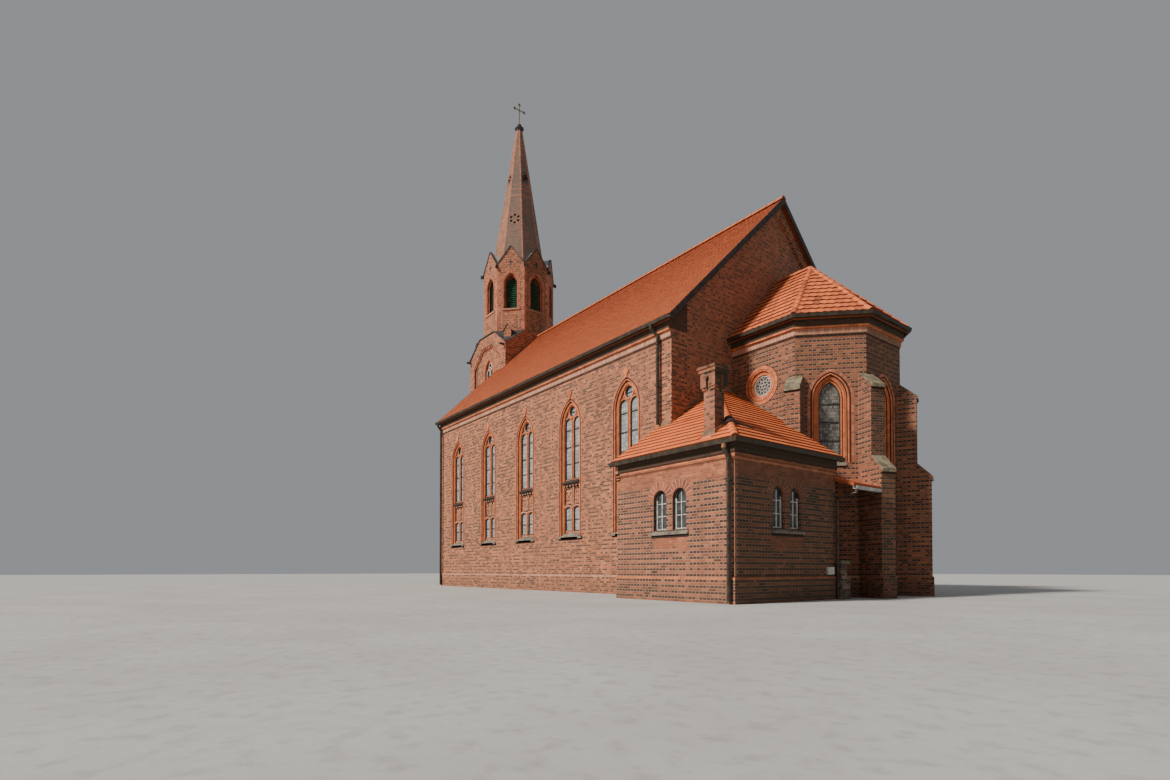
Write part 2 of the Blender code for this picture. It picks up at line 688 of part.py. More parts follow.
def chancel_roof(tiles):
    """A hipped roof over the bay and the octagon, as a shell open underneath."""
    path = chancel_path()
    slope = NAVE_SLOPE
    rise = slope * (CHANCEL_HALF + EAVE_OVERHANG)
    centre = CHANCEL_END - CHANCEL_HALF
    eaves = [Vector(p) + m * EAVE_OVERHANG for p, m in zip(path, mitres(path, False))]
    bm = bmesh.new()
    layers = []
    for drop in (0.0, ROOF_THICKNESS):
        rim = [bm.verts.new((p.x, p.y, EAVE_HEIGHT - drop)) for p in eaves]
        ridge = bm.verts.new((GABLE_FACE + GAP, 0.0, EAVE_HEIGHT + rise - drop))
        peak = bm.verts.new((centre, 0.0, EAVE_HEIGHT + rise - drop))
        bm.faces.new((rim[0], rim[1], peak, ridge))
        for k in (1, 2, 3):
            bm.faces.new((rim[k], rim[k + 1], peak))
        bm.faces.new((rim[4], rim[5], ridge, peak))
        layers.append(rim + [ridge])
    upper, lower = layers
    for i in range(len(upper)):
        j = (i + 1) % len(upper)
        bm.faces.new((upper[i], lower[i], lower[j], upper[j]))
    finish_mesh("chancel_roof", bm, tiles)


def chancel_eaves(gutter_finish):
    sweep("chancel_eaves", chancel_path(), gutter_profile(EAVE_HEIGHT, EAVE_OVERHANG), gutter_finish)


def chancel_floor(stone):
    path = chancel_path()
    inner = -CHANCEL_WALL - GAP
    outline = [(p[0] + m.x * inner, p[1] + m.y * inner) for p, m in zip(path, mitres(path, False))]
    column("chancel_floor", outline, 0.0, FLOOR_HEIGHT, stone)


def sacristy_top(y):
    """Top surface of the front slope of the sacristy roof."""
    return SACRISTY_EAVE + SACRISTY_SLOPE * (y - SACRISTY_FRONT + SACRISTY_OVERHANG)


def sacristy_top_east(x):
    return SACRISTY_EAVE + SACRISTY_SLOPE * (SACRISTY_EAST + SACRISTY_OVERHANG - x)


def sacristy_lights(c):
    return [arch_outline(c, SACRISTY_WINDOW_HALF - 0.05, SACRISTY_WINDOW_SILL + 0.05,
                         SACRISTY_WINDOW_SPRING, 0.001, ARC_STEPS)]


def sacristy_walls(brick, glass):
    string = (SACRISTY_STRING_BOTTOM, SACRISTY_STRING_TOP, SACRISTY_STRING_PROJECTION)
    cornice = (SACRISTY_CORNICE_BOTTOM, SACRISTY_CORNICE_PROJECTION)
    profile = wall_profile(SACRISTY_WALL, SACRISTY_EAVE, string, cornice, sacristy_under)
    path = ((SACRISTY_WEST, SACRISTY_FRONT), (SACRISTY_EAST, SACRISTY_FRONT), (SACRISTY_EAST, SACRISTY_NORTH))
    names = ("sacristy_front_wall", "sacristy_east_wall")
    walls = wall_run(names, path, profile, brick)
    middles = (SACRISTY_EAST - SACRISTY_WEST - FRONT_WINDOWS_FROM_CORNER, EAST_WINDOWS_FROM_CORNER)
    for i, name in enumerate(names):
        face = Face(path[i], path[i + 1])
        pair = [middles[i] + side * SACRISTY_WINDOW_SPACING / 2 for side in (-1, 1)]

        def niche(bm, face=face, pair=pair):
            for c in pair:
                outline = arch_outline(c, SACRISTY_WINDOW_HALF, SACRISTY_WINDOW_SILL,
                                       SACRISTY_WINDOW_SPRING, 0.001)
                add_prism(bm, face, outline, -SACRISTY_WINDOW_NICHE, 1.0)

        def through(bm, face=face, pair=pair):
            for c in pair:
                add_prism(bm, face, sacristy_lights(c)[0], -1.0, 1.0)

        cut(walls[name], name + "_niche", niche)
        cut(walls[name], name + "_light", through)

    chase = square(*chimney_middle(), CHIMNEY_SIDE / 2 + GAP)
    cut(walls["sacristy_front_wall"], "chimney_chase",
        lambda bm: add_column(bm, chase, CHIMNEY_BASE - GAP, SACRISTY_EAVE + BEYOND))

    inner = SACRISTY_FRONT + SACRISTY_WALL + GAP
    nave_clear = -HALF_WIDTH - PLINTH_PROJECTION - GAP
    west = Face((SACRISTY_WEST, 0.0), (SACRISTY_WEST, -1.0))
    under = SACRISTY_ROOF_THICKNESS + 2 * GAP
    outline = [(-inner, 0.0), (-nave_clear, 0.0), (-nave_clear, PLINTH_HEIGHT + GAP),
               (HALF_WIDTH + GAP, PLINTH_HEIGHT + GAP),
               (HALF_WIDTH + GAP, sacristy_top(-HALF_WIDTH - GAP) - under), (-inner, sacristy_top(inner) - under)]
    prism("sacristy_west_wall", west, outline, -SACRISTY_WALL, 0.0, brick)

    north = Face((0.0, SACRISTY_NORTH), (-1.0, SACRISTY_NORTH))
    start = SACRISTY_EAST - SACRISTY_WALL - GAP
    end = buttress_edge() + 2 * GAP
    outline = [(-start, 0.0), (-end, 0.0), (-end, sacristy_top_east(end) - under),
               (-start, sacristy_top_east(start) - under)]
    wall = prism("sacristy_north_wall", north, outline, -SACRISTY_WALL, 0.0, brick)
    doorway = [(-NORTH_DOOR_X - DOOR_HALF, SACRISTY_FLOOR), (-NORTH_DOOR_X + DOOR_HALF, SACRISTY_FLOOR),
               (-NORTH_DOOR_X + DOOR_HALF, DOOR_HEIGHT), (-NORTH_DOOR_X - DOOR_HALF, DOOR_HEIGHT)]
    cut(wall, "north_doorway", lambda bm: add_prism(bm, north, doorway, -1.0, 1.0))

    bottom = SACRISTY_WINDOW_SILL
    top = SACRISTY_WINDOW_SPRING + SACRISTY_WINDOW_HALF
    inside = -SACRISTY_WALL - GAP
    sheet = [(inside, bottom), (inside, top), (inside - GLASS_THICKNESS, top), (inside - GLASS_THICKNESS, bottom)]
    glass_path = ((SACRISTY_EAST - FRONT_WINDOWS_FROM_CORNER - 1.0, SACRISTY_FRONT), path[1],
                  (SACRISTY_EAST, SACRISTY_FRONT + EAST_WINDOWS_FROM_CORNER + 1.0))
    sweep("sacristy_glass", glass_path, sheet, glass)


def buttress_edge():
    """East corner of the first buttress, where the sacristy's north wall starts."""
    angle = math.pi / 8
    reach = BUTTRESS_LOWER_DEPTH + max(BUTTRESS_FOOT, WEATHERING_OVERHANG)
    return CHANCEL_CORNER + math.sin(angle) * reach + math.cos(angle) * BUTTRESS_HALF


def sacristy_door(oak):
    north = Face((0.0, SACRISTY_NORTH), (-1.0, SACRISTY_NORTH))
    half = DOOR_HALF - GAP
    outline = [(-NORTH_DOOR_X - half, SACRISTY_FLOOR + GAP), (-NORTH_DOOR_X + half, SACRISTY_FLOOR + GAP),
               (-NORTH_DOOR_X + half, DOOR_HEIGHT - GAP), (-NORTH_DOOR_X - half, DOOR_HEIGHT - GAP)]
    prism("sacristy_door", north, outline, -0.15 - DOOR_THICKNESS, -0.15, oak)


def sacristy_roof(tiles):
    """A lean-to roof hipped at the free corner, fitted round the first buttress."""
    west = SACRISTY_WEST - SACRISTY_VERGE
    east = SACRISTY_EAST + SACRISTY_OVERHANG
    south = SACRISTY_FRONT - SACRISTY_OVERHANG
    north = SACRISTY_NORTH + SACRISTY_VERGE
    wall = -CHANCEL_HALF - GAP
    gable = GABLE_FACE + GAP
    corner = -HALF_WIDTH + NAVE_WALL
    hip_top = south + (east - gable)
    nave = -HALF_WIDTH - GAP
    pilaster = HALF_LENGTH + GAP
    front = [(west, south), (east, south), (gable, hip_top), (gable, corner), (pilaster, corner),
             (pilaster, nave), (west, nave)]
    side = [(east, south), (east, north), (CHANCEL_CORNER, north), (CHANCEL_CORNER, wall), (gable, wall),
            (gable, hip_top)]
    rim = [(west, south), (east, south), (east, north), (CHANCEL_CORNER, north), (CHANCEL_CORNER, wall),
           (gable, wall), (gable, hip_top), (gable, corner), (pilaster, corner), (pilaster, nave), (west, nave)]

    def height(x, y):
        return min(sacristy_top(y), sacristy_top_east(x))

    bm = bmesh.new()
    layers = []
    for drop in (0.0, SACRISTY_ROOF_THICKNESS):
        made = {p: bm.verts.new((p[0], p[1], height(*p) - drop)) for p in rim}
        bm.faces.new([made[p] for p in front])
        bm.faces.new([made[p] for p in side])
        layers.append(made)
    for i, p in enumerate(rim):
        q = rim[(i + 1) % len(rim)]
        bm.faces.new((layers[0][p], layers[1][p], layers[1][q], layers[0][q]))
    roof = finish_mesh("sacristy_roof", bm, tiles)

    angle = math.pi / 8
    out = Vector((math.sin(angle), -math.cos(angle)))
    across = Vector((math.cos(angle), math.sin(angle)))
    base = Vector((CHANCEL_CORNER, -CHANCEL_HALF))

    def around_buttress(bm):
        reach = BUTTRESS_UPPER_DEPTH + 3 * GAP
        half = BUTTRESS_HALF + 3 * GAP
        points = [base - out + across * half, base - out - across * half,
                  base + out * reach - across * half, base + out * reach + across * half]
        add_column(bm, [(p.x, p.y) for p in points], SACRISTY_EAVE, RIDGE_HEIGHT)

    cut(roof, "roof_round_buttress", around_buttress)
    cut(roof, "roof_round_chimney",
        lambda bm: add_column(bm, square(*chimney_middle(), CHIMNEY_SIDE / 2 + 2 * GAP), 0.0, RIDGE_HEIGHT))


def sacristy_eaves(gutter_finish):
    profile = gutter_profile(SACRISTY_EAVE, SACRISTY_OVERHANG)
    path = ((SACRISTY_WEST - SACRISTY_VERGE, SACRISTY_FRONT), (SACRISTY_EAST, SACRISTY_FRONT),
            (SACRISTY_EAST, SACRISTY_NORTH + SACRISTY_VERGE))
    sweep("sacristy_eaves", path, profile, gutter_finish)


def sacristy_floor(stone):
    step = PLINTH_PROJECTION + GAP
    west = HALF_LENGTH + GAP
    east = SACRISTY_EAST - SACRISTY_WALL - GAP
    south = SACRISTY_FRONT + SACRISTY_WALL + GAP
    buttress_clear = SACRISTY_NORTH - SACRISTY_WALL - 0.12
    outline = [(west, south), (east, south), (east, buttress_clear), (CHANCEL_CORNER - 0.4, buttress_clear),
               (CHANCEL_CORNER - 0.4, -CHANCEL_HALF - step), (west, -CHANCEL_HALF - step)]
    column("sacristy_floor", outline, 0.0, SACRISTY_FLOOR, stone)


def chimney_middle():
    return CHIMNEY_EAST - CHIMNEY_SIDE / 2, CHIMNEY_SOUTH + CHIMNEY_SIDE / 2


def chimney(brick):
    """Square shaft from the wall head to a corbelled cap with a flue and blind lancets."""
    half = CHIMNEY_SIDE / 2
    x, y = chimney_middle()
    base = CHIMNEY_BASE
    steps = [(base, 0.0), (CHIMNEY_NECK, 0.0), (CHIMNEY_NECK + 0.02, CHIMNEY_CORBEL),
             (CHIMNEY_NECK + 0.07, CHIMNEY_CORBEL), (CHIMNEY_NECK + 0.09, CHIMNEY_HEAD),
             (CHIMNEY_TOP - 0.20, CHIMNEY_HEAD), (CHIMNEY_TOP - 0.18, CHIMNEY_SLAB),
             (CHIMNEY_TOP - 0.10, CHIMNEY_SLAB), (CHIMNEY_TOP - 0.08, CHIMNEY_CAP),
             (CHIMNEY_TOP - 0.03, CHIMNEY_CAP), (CHIMNEY_TOP, CHIMNEY_SLAB)]
    flue = CHIMNEY_FLUE - half
    outline = [(out, h) for h, out in steps] + [(flue, CHIMNEY_TOP), (flue, base)]
    # The stack rests on a ledge in the front wall.
    stack = sweep("sacristy_chimney", square(x, y, half), outline, brick, closed=True)

    def lancets(bm):
        for a, b in (((x - half, y - half), (x + half, y - half)), ((x + half, y - half), (x + half, y + half))):
            shape = arch_outline(half, CHIMNEY_LANCET_HALF, CHIMNEY_NECK - 0.02, CHIMNEY_LANCET_SPRING,
                                 CHIMNEY_LANCET_HALF / 2, LIGHT_STEPS)
            add_prism(bm, Face(a, b), shape, 0.004, BEYOND)

    cut(stack, "blind_lancets", lancets)


def porch(tiles, brick, zinc):
    """Lean-to roof over the side door, its gutter and pipe and the low pier beside it."""
    angle = math.pi / 8
    left = SACRISTY_NORTH + 2 * GAP
    line = CHANCEL_CORNER + CHANCEL_HALF
    wall_gap = 0.01

    def on_diagonal(y):
        return line + y + wall_gap

    second = Vector((CHANCEL_END, -CHANCEL_SIDE / 2))
    out = Vector((math.cos(angle), -math.sin(angle)))
    across = Vector((-math.sin(angle), -math.cos(angle)))
    side = second + across * (BUTTRESS_HALF + wall_gap)
    near = side + out * ((PORCH_EAST - side.x) / out.x)
    root = side + out * ((line + wall_gap - side.x + side.y) / (out.x - out.y))
    start_y = -CHANCEL_HALF + 0.55
    outline = [(buttress_edge() + 0.12, left), (PORCH_EAST, left), (near.x, near.y), (root.x, root.y),
               (on_diagonal(start_y), start_y)]

    def top(x):
        return PORCH_HEIGHT - PORCH_SLOPE * (x - SACRISTY_EAST)

    bm = bmesh.new()
    high = [bm.verts.new((x, y, top(x))) for x, y in outline]
    low = [bm.verts.new((x, y, top(x) - PORCH_THICKNESS)) for x, y in outline]
    bm.faces.new(high)
    bm.faces.new(list(reversed(low)))
    for i in range(len(outline)):
        j = (i + 1) % len(outline)
        bm.faces.new((high[i], low[i], low[j], high[j]))
    finish_mesh("porch_roof", bm, tiles)

    bottom = top(PORCH_EAST) - PORCH_THICKNESS - PORCH_GUTTER - GAP
    rim = bottom + PORCH_GUTTER
    sheet = PORCH_GUTTER_SHEET
    trough = [(-2 * sheet, bottom), (PORCH_GUTTER, bottom), (PORCH_GUTTER + sheet, rim), (PORCH_GUTTER, rim),
              (PORCH_GUTTER - sheet, bottom + sheet), (-sheet, bottom + sheet), (-sheet, rim), (-2 * sheet, rim)]
    sweep("porch_gutter", ((PORCH_EAST, left), (PORCH_EAST, near.y - PORCH_GUTTER)), trough, zinc)
    corner_x = SACRISTY_EAST + PLINTH_PROJECTION + PORCH_PIPE_RADIUS + GAP
    corner_y = SACRISTY_NORTH - PORCH_PIPE_RADIUS - GAP
    outlet = (PORCH_EAST + PORCH_GUTTER / 2, left + 0.06, bottom - GAP)
    pipe("porch_downpipe", [outlet, (*outlet[:2], bottom - 0.10), (corner_x, corner_y, bottom - 0.24),
                            (corner_x, corner_y, PIPE_FOOT)], PORCH_PIPE_RADIUS, zinc)

    x = PIER_EAST - PIER_WIDTH / 2
    y = SACRISTY_NORTH + GAP + PIER_STEP + PIER_WIDTH / 2
    profile = [(PIER_STEP, 0.0), (PIER_STEP, PLINTH_HEIGHT - PLINTH_BEVEL), (0.0, PLINTH_HEIGHT),
               (0.0, PIER_HEIGHT - PIER_CAP), (PIER_STEP, PIER_HEIGHT - PIER_CAP), (PIER_STEP, PIER_HEIGHT)]
    bm = bmesh.new()
    rings = []
    for grow, h in profile:
        rings.append([bm.verts.new((px, py, h)) for px, py in square(x, y, PIER_WIDTH / 2 + grow)])
    for a, b in zip(rings, rings[1:]):
        for i in range(4):
            bm.faces.new((a[i], a[(i + 1) % 4], b[(i + 1) % 4], b[i]))
    bm.faces.new(list(reversed(rings[0])))
    bm.faces.new(rings[-1])
    finish_mesh("porch_pier", bm, brick)


def octagon(apothem, centre=TOWER_X):
    radius = apothem / math.cos(math.pi / 8)
    return [(centre + radius * math.cos(math.pi / 8 + k * math.pi / 4),
             radius * math.sin(math.pi / 8 + k * math.pi / 4)) for k in range(8)]


def tower_faces():
    corners = square(TOWER_X, 0.0, TOWER_HALF)
    sides = ("south", "east", "north", "west")
    return {side: Face(corners[i], corners[(i + 1) % 4]) for i, side in enumerate(sides)}


def tower_lights(c):
    outlines = []
    for side in (-1, 1):
        outlines.append(arch_outline(c + side * TOWER_LIGHT_CENTRE, TOWER_LIGHT_HALF, TOWER_WINDOW_SILL + 0.15,
                                     TOWER_WINDOW_SPRING, 0.10, LIGHT_STEPS))
    outlines.append(round_outline(c, TOWER_WINDOW_SPRING + 0.48, 0.13))
    return outlines


def west_lights(c):
    outlines = []
    for side in (-1, 1):
        outlines.append(arch_outline(c + side * TOWER_LIGHT_CENTRE, TOWER_LIGHT_HALF, WEST_WINDOW_SILL + 0.15,
                                     WEST_WINDOW_SPRING, 0.10, LIGHT_STEPS))
    return outlines


def tower_base(brick):
    """The square stage: shoulders rise to the belfry and the corners slope back."""
    half, inner = TOWER_HALF, TOWER_SHOULDER_HALF
    bm = bmesh.new()
    low = [bm.verts.new((x, y, 0.0)) for x, y in square(TOWER_X, 0.0, half)]
    mid = [bm.verts.new((x, y, TOWER_SHOULDER)) for x, y in square(TOWER_X, 0.0, half)]
    tops = []
    for sx, sy in ((-inner, -half), (inner, -half), (half, -inner), (half, inner),
                   (inner, half), (-inner, half), (-half, inner), (-half, -inner)):
        tops.append(bm.verts.new((TOWER_X + sx, sy, TOWER_TOP)))
    bm.faces.new(list(reversed(low)))
    bm.faces.new(tops)
    for i in range(4):
        j = (i + 1) % 4
        a, b = tops[2 * i], tops[2 * i + 1]
        bm.faces.new((low[i], low[j], mid[j], b, a, mid[i]))
        bm.faces.new((mid[j], tops[(2 * i + 2) % 8], b))
    body = finish_mesh("tower_base", bm, brick)

    def pinnacles(bm):
        for k in range(4):
            angle = math.pi / 4 + k * math.pi / 2
            out = Vector((math.cos(angle), math.sin(angle)))
            along = Vector((-out.y, out.x))
            foot = Vector((TOWER_X, 0.0)) + out * PINNACLE_FACE - along
            face = Face(foot, foot + along)
            shape = [(1 - PINNACLE_HALF, PINNACLE_BOTTOM), (1 + PINNACLE_HALF, PINNACLE_BOTTOM),
                     (1 + PINNACLE_HALF, PINNACLE_EAVE), (1.0, PINNACLE_TOP), (1 - PINNACLE_HALF, PINNACLE_EAVE)]
            reach = BELFRY_APOTHEM + 2 * GAP - PINNACLE_FACE
            add_prism(bm, face, shape, reach, 0.0)

    cut(body, "corner_pinnacles", pinnacles, "UNION")
    hollow = TOWER_HALF - TOWER_WALL
    cut(body, "tower_hollow", lambda bm: add_column(bm, square(TOWER_X, 0.0, hollow), DOWN, TOWER_TOP + 1.0))

    faces = tower_faces()
    middle = TOWER_HALF
    roof_edge = -HALF_LENGTH - VERGE_OVERHANG - (TOWER_X - TOWER_HALF) - 0.05
    above_roof = RIDGE_HEIGHT - NAVE_SLOPE * TOWER_HALF + 0.06

    def panels(bm):
        crown = [(middle + PANEL_TOP_HALF, PANEL_TOP), (middle - PANEL_TOP_HALF, PANEL_TOP),
                 (middle - PANEL_HALF, PANEL_SHOULDER)]
        west = [(middle - PANEL_HALF, PANEL_BOTTOM), (middle + PANEL_HALF, PANEL_BOTTOM),
                (middle + PANEL_HALF, PANEL_SHOULDER)] + crown
        south = [(middle - PANEL_HALF, PANEL_BOTTOM), (roof_edge, PANEL_BOTTOM), (roof_edge, above_roof),
                 (middle + PANEL_HALF, above_roof), (middle + PANEL_HALF, PANEL_SHOULDER)] + crown
        add_prism(bm, faces["west"], west, -PANEL_DEPTH, 1.0)
        add_prism(bm, faces["south"], south, -PANEL_DEPTH, 1.0)
        add_prism(bm, faces["north"], [(2 * middle - a, h) for a, h in south], -PANEL_DEPTH, 1.0)

    cut(body, "tower_panels", panels)

    def niches(bm):
        for side in ("south", "north", "west"):
            shape = arch_outline(middle, TOWER_WINDOW_HALF, TOWER_WINDOW_SILL, TOWER_WINDOW_SPRING, 0.35)
            add_prism(bm, faces[side], shape, -PANEL_DEPTH - 0.15, 1.0)
        shape = arch_outline(middle, TOWER_WINDOW_HALF, WEST_WINDOW_SILL, WEST_WINDOW_SPRING, 0.35)
        add_prism(bm, faces["west"], shape, -0.2, 1.0)
        portal = arch_outline(middle, PORTAL_HALF + 0.25, FLOOR_HEIGHT, PORTAL_SPRING, 0.5)
        add_prism(bm, faces["west"], portal, -0.2, 1.0)

    def lights(bm):
        for side in ("south", "north", "west"):
            for outline in tower_lights(middle):
                add_prism(bm, faces[side], outline, -TOWER_WALL - 0.2, 1.0)
        for outline in west_lights(middle):
            add_prism(bm, faces["west"], outline, -TOWER_WALL - 0.2, 1.0)
        portal = arch_outline(middle, PORTAL_HALF, FLOOR_HEIGHT, PORTAL_SPRING, 0.5)
        add_prism(bm, faces["west"], portal, -TOWER_WALL - 0.2, 1.0)
        inner_arch = arch_outline(middle, TOWER_ARCH_HALF, FLOOR_HEIGHT, TOWER_ARCH_SPRING, 0.5)
        add_prism(bm, faces["east"], inner_arch, -TOWER_WALL - 0.2, 1.0)

    cut(body, "tower_niches", niches)
    cut(body, "tower_lights", lights)


def tower_fittings(oak, glass, stone):
    hollow = TOWER_HALF - TOWER_WALL
    inner = hollow - GAP
    sheet = [(-inner + hollow - GAP, TOWER_WINDOW_SILL), (-inner + hollow - GAP, TOWER_SHOULDER - 0.2),
             (-inner + hollow - GAP - GLASS_THICKNESS, TOWER_SHOULDER - 0.2),
             (-inner + hollow - GAP - GLASS_THICKNESS, TOWER_WINDOW_SILL)]
    shifted = [(o - (-inner + hollow - GAP) - GAP, h) for o, h in sheet]
    sweep("tower_glass", square(TOWER_X, 0.0, hollow), shifted, glass, closed=True)
    faces = tower_faces()
    shape = arch_outline(TOWER_HALF, PORTAL_HALF - GAP, FLOOR_HEIGHT + GAP, PORTAL_SPRING, 0.5)
    prism("west_door", faces["west"], shape, -0.55, -0.45, oak)
    column("tower_floor", square(TOWER_X, 0.0, inner), 0.0, FLOOR_HEIGHT, stone)


def belfry(brick, paint):
    """Eight walls with a gable over each, as one ring."""
    outer = octagon(BELFRY_APOTHEM)
    thin = octagon(BELFRY_APOTHEM - GABLET_WALL)
    thick = octagon(BELFRY_APOTHEM - BELFRY_WALL)
    base = TOWER_TOP + GAP

    def middle(ring, k):
        a, b = ring[k], ring[(k + 1) % 8]
        return ((a[0] + b[0]) / 2, (a[1] + b[1]) / 2)

    bm = bmesh.new()
    rings = {}
    for key, ring, height in (("out_low", outer, base), ("out_foot", outer, GABLET_FOOT),
                              ("thin_foot", thin, GABLET_FOOT), ("thin_seat", thin, SPIRE_SEAT),
                              ("thick_seat", thick, SPIRE_SEAT), ("thick_low", thick, base)):
        rings[key] = [bm.verts.new((x, y, height)) for x, y in ring]
    peaks = [bm.verts.new((*middle(outer, k), GABLET_TOP)) for k in range(8)]
    inner_peaks = [bm.verts.new((*middle(thin, k), GABLET_TOP)) for k in range(8)]
    for k in range(8):
        n = (k + 1) % 8
        bm.faces.new((rings["out_low"][k], rings["out_low"][n], rings["out_foot"][n], peaks[k],
                      rings["out_foot"][k]))
        bm.faces.new((rings["thin_seat"][n], rings["thin_seat"][k], rings["thin_foot"][k], inner_peaks[k],
                      rings["thin_foot"][n]))
        for a, b in ((rings["out_foot"][k], rings["thin_foot"][k]),
                     (rings["out_foot"][n], rings["thin_foot"][n])):
            bm.faces.new((a, peaks[k], b))
            bm.faces.new((peaks[k], inner_peaks[k], b))
        for upper, lower in (("thin_seat", "thick_seat"), ("thick_seat", "thick_low"), ("thick_low", "out_low")):
            bm.faces.new((rings[upper][k], rings[upper][n], rings[lower][n], rings[lower][k]))
    body = finish_mesh("tower_belfry", bm, brick)

    def each_face(bm, half, sill, inner):
        for k in range(8):
            face = Face(outer[k], outer[(k + 1) % 8])
            shape = arch_outline(face.length / 2, half, sill, BELFRY_WINDOW_SPRING, BELFRY_ARC_OFFSET)
            add_prism(bm, face, shape, inner, 1.0)

    cut(body, "belfry_niches", lambda bm: each_face(bm, BELFRY_WINDOW_HALF + BELFRY_ORDER,
                                                    BELFRY_WINDOW_SILL - 0.06, -0.14))
    cut(body, "belfry_openings", lambda bm: each_face(bm, BELFRY_WINDOW_HALF, BELFRY_WINDOW_SILL, -0.9))

    seat = BELFRY_APOTHEM - BELFRY_WALL - GAP
    low = BELFRY_WINDOW_SILL - LOUVRE_FOOT
    high = BELFRY_WINDOW_SPRING + LOUVRE_HEAD
    profile = [(0.0, low), (0.0, high), (-LOUVRE_SHEET, high), (-LOUVRE_SHEET, low)]
    sweep("belfry_louvres", octagon(seat), profile, paint, closed=True)


def spire_apothem(height):
    share = (height - SPIRE_SEAT) / (SPIRE_TOP - SPIRE_SEAT)
    return SPIRE_APOTHEM + (SPIRE_TOP_APOTHEM - SPIRE_APOTHEM) * share


def spire(brick):
    """Hollow octagonal spire with a small roof running back from each gablet."""
    base = SPIRE_SEAT + GAP
    profile = [(0.0, base), (SPIRE_TOP_APOTHEM - SPIRE_APOTHEM, SPIRE_TOP),
               (SPIRE_TOP_APOTHEM - SPIRE_APOTHEM - SPIRE_TOP_WALL, SPIRE_TOP), (-SPIRE_WALL, base)]
    body = sweep("tower_spire", octagon(SPIRE_APOTHEM), profile, brick, closed=True)
    inner = BELFRY_APOTHEM - GABLET_WALL - GAP
    ring = octagon(inner)
    reach = 0.2

    def gablet_roofs(bm, pick):
        for k in range(pick, 8, 2):
            face = Face(ring[k], ring[(k + 1) % 8])
            half = face.length / 2
            inset = GABLET_ROOF_INSETS[pick]
            shape = [(inset, GABLET_FOOT - 0.04), (2 * half - inset, GABLET_FOOT - 0.04),
                     (half, GABLET_TOP - 0.06 - pick * GABLET_ROOF_STEP)]
            add_prism(bm, face, shape, -inner + spire_apothem(GABLET_TOP) - reach / 4, 0.0)

    cut(body, "gablet_roofs_even", lambda bm: gablet_roofs(bm, 0), "UNION")
    cut(body, "gablet_roofs_odd", lambda bm: gablet_roofs(bm, 1), "UNION")

    def pierced(bm, height, first, count, spread, radius):
        outline = octagon(spire_apothem(height))
        for k in range(first, 8, 2):
            face = Face(outline[k], outline[(k + 1) % 8])
            for i in range(count):
                angle = math.pi / 2 + i * math.tau / count
                shape = round_outline(face.length / 2 + spread * math.cos(angle),
                                      height + spread * math.sin(angle), radius, 6)
                add_prism(bm, face, shape, -0.5, 0.5)

    cut(body, "spire_rosettes", lambda bm: pierced(bm, ROSETTE_HEIGHT, 0, ROSETTE_LOBES, ROSETTE_SPREAD,
                                                   ROSETTE_LOBE_RADIUS))
    cut(body, "spire_quatrefoils", lambda bm: pierced(bm, QUATREFOIL_HEIGHT, 1, 4, QUATREFOIL_SPREAD,
                                                      QUATREFOIL_LOBE_RADIUS))


def turned(name, x, y, profile, sides, finish):
    """A closed turned shape from (radius, height) points whose ends lie on the axis."""
    bm = bmesh.new()
    bottom = bm.verts.new((x, y, profile[0][1]))
    top = bm.verts.new((x, y, profile[-1][1]))
    rings = []
    for radius, height in profile[1:-1]:
        rings.append([bm.verts.new((x + radius * math.cos(math.tau * k / sides),
                                    y + radius * math.sin(math.tau * k / sides), height)) for k in range(sides)])
    for k in range(sides):
        n = (k + 1) % sides
        bm.faces.new((bottom, rings[0][n], rings[0][k]))
        bm.faces.new((top, rings[-1][k], rings[-1][n]))
        for a, b in zip(rings, rings[1:]):
            bm.faces.new((a[k], a[n], b[n], b[k]))
    return finish_mesh(name, bm, finish)


def finial(lead, gilt):
    base = SPIRE_TOP + GAP
    profile = [(0.0, base), (0.20, base), (0.23, base + 0.10), (0.29, base + 0.16), (0.29, base + 0.22),
               (0.16, base + 0.27), (0.09, base + 0.33), (0.13, base + 0.38), (0.13, base + 0.45),
               (0.06, base + CAP_HEIGHT), (0.0, base + CAP_HEIGHT)]
    turned("spire_cap", TOWER_X, 0.0, profile, 12, lead)

    bottom = base + CAP_HEIGHT + GAP
    bar = CROSS_BAR / 2
    arm = CROSS_SPAN / 2
    centre = CROSS_TOP - arm
    lobe = 0.075
    tip = CROSS_TOP

    def trefoil_end(along_x, along_y, reach):
        """Three lobes at the end of an arm, as a list of offsets from the middle."""
        shape = [(reach - 2.2 * lobe, -bar), (reach - 1.9 * lobe, -lobe), (reach - 1.2 * lobe, -1.35 * lobe),
                 (reach - 0.7 * lobe, -0.7 * lobe), (reach, -0.5 * lobe), (reach, 0.5 * lobe),
                 (reach - 0.7 * lobe, 0.7 * lobe), (reach - 1.2 * lobe, 1.35 * lobe),
                 (reach - 1.9 * lobe, lobe), (reach - 2.2 * lobe, bar)]
        return [(u * along_x - v * along_y, centre + u * along_y + v * along_x) for u, v in shape]

    outline = [(-bar, bottom), (bar, bottom), (bar, centre - bar)]
    outline += trefoil_end(1, 0, arm)
    outline += [(bar, centre + bar)]
    outline += trefoil_end(0, 1, tip - centre)
    outline += [(-bar, centre + bar)]
    outline += trefoil_end(-1, 0, arm)
    outline += [(-bar, centre - bar)]
    face = Face((TOWER_X, 0.0), (TOWER_X, 1.0))
    prism("spire_cross", face, outline, -bar, bar, gilt)


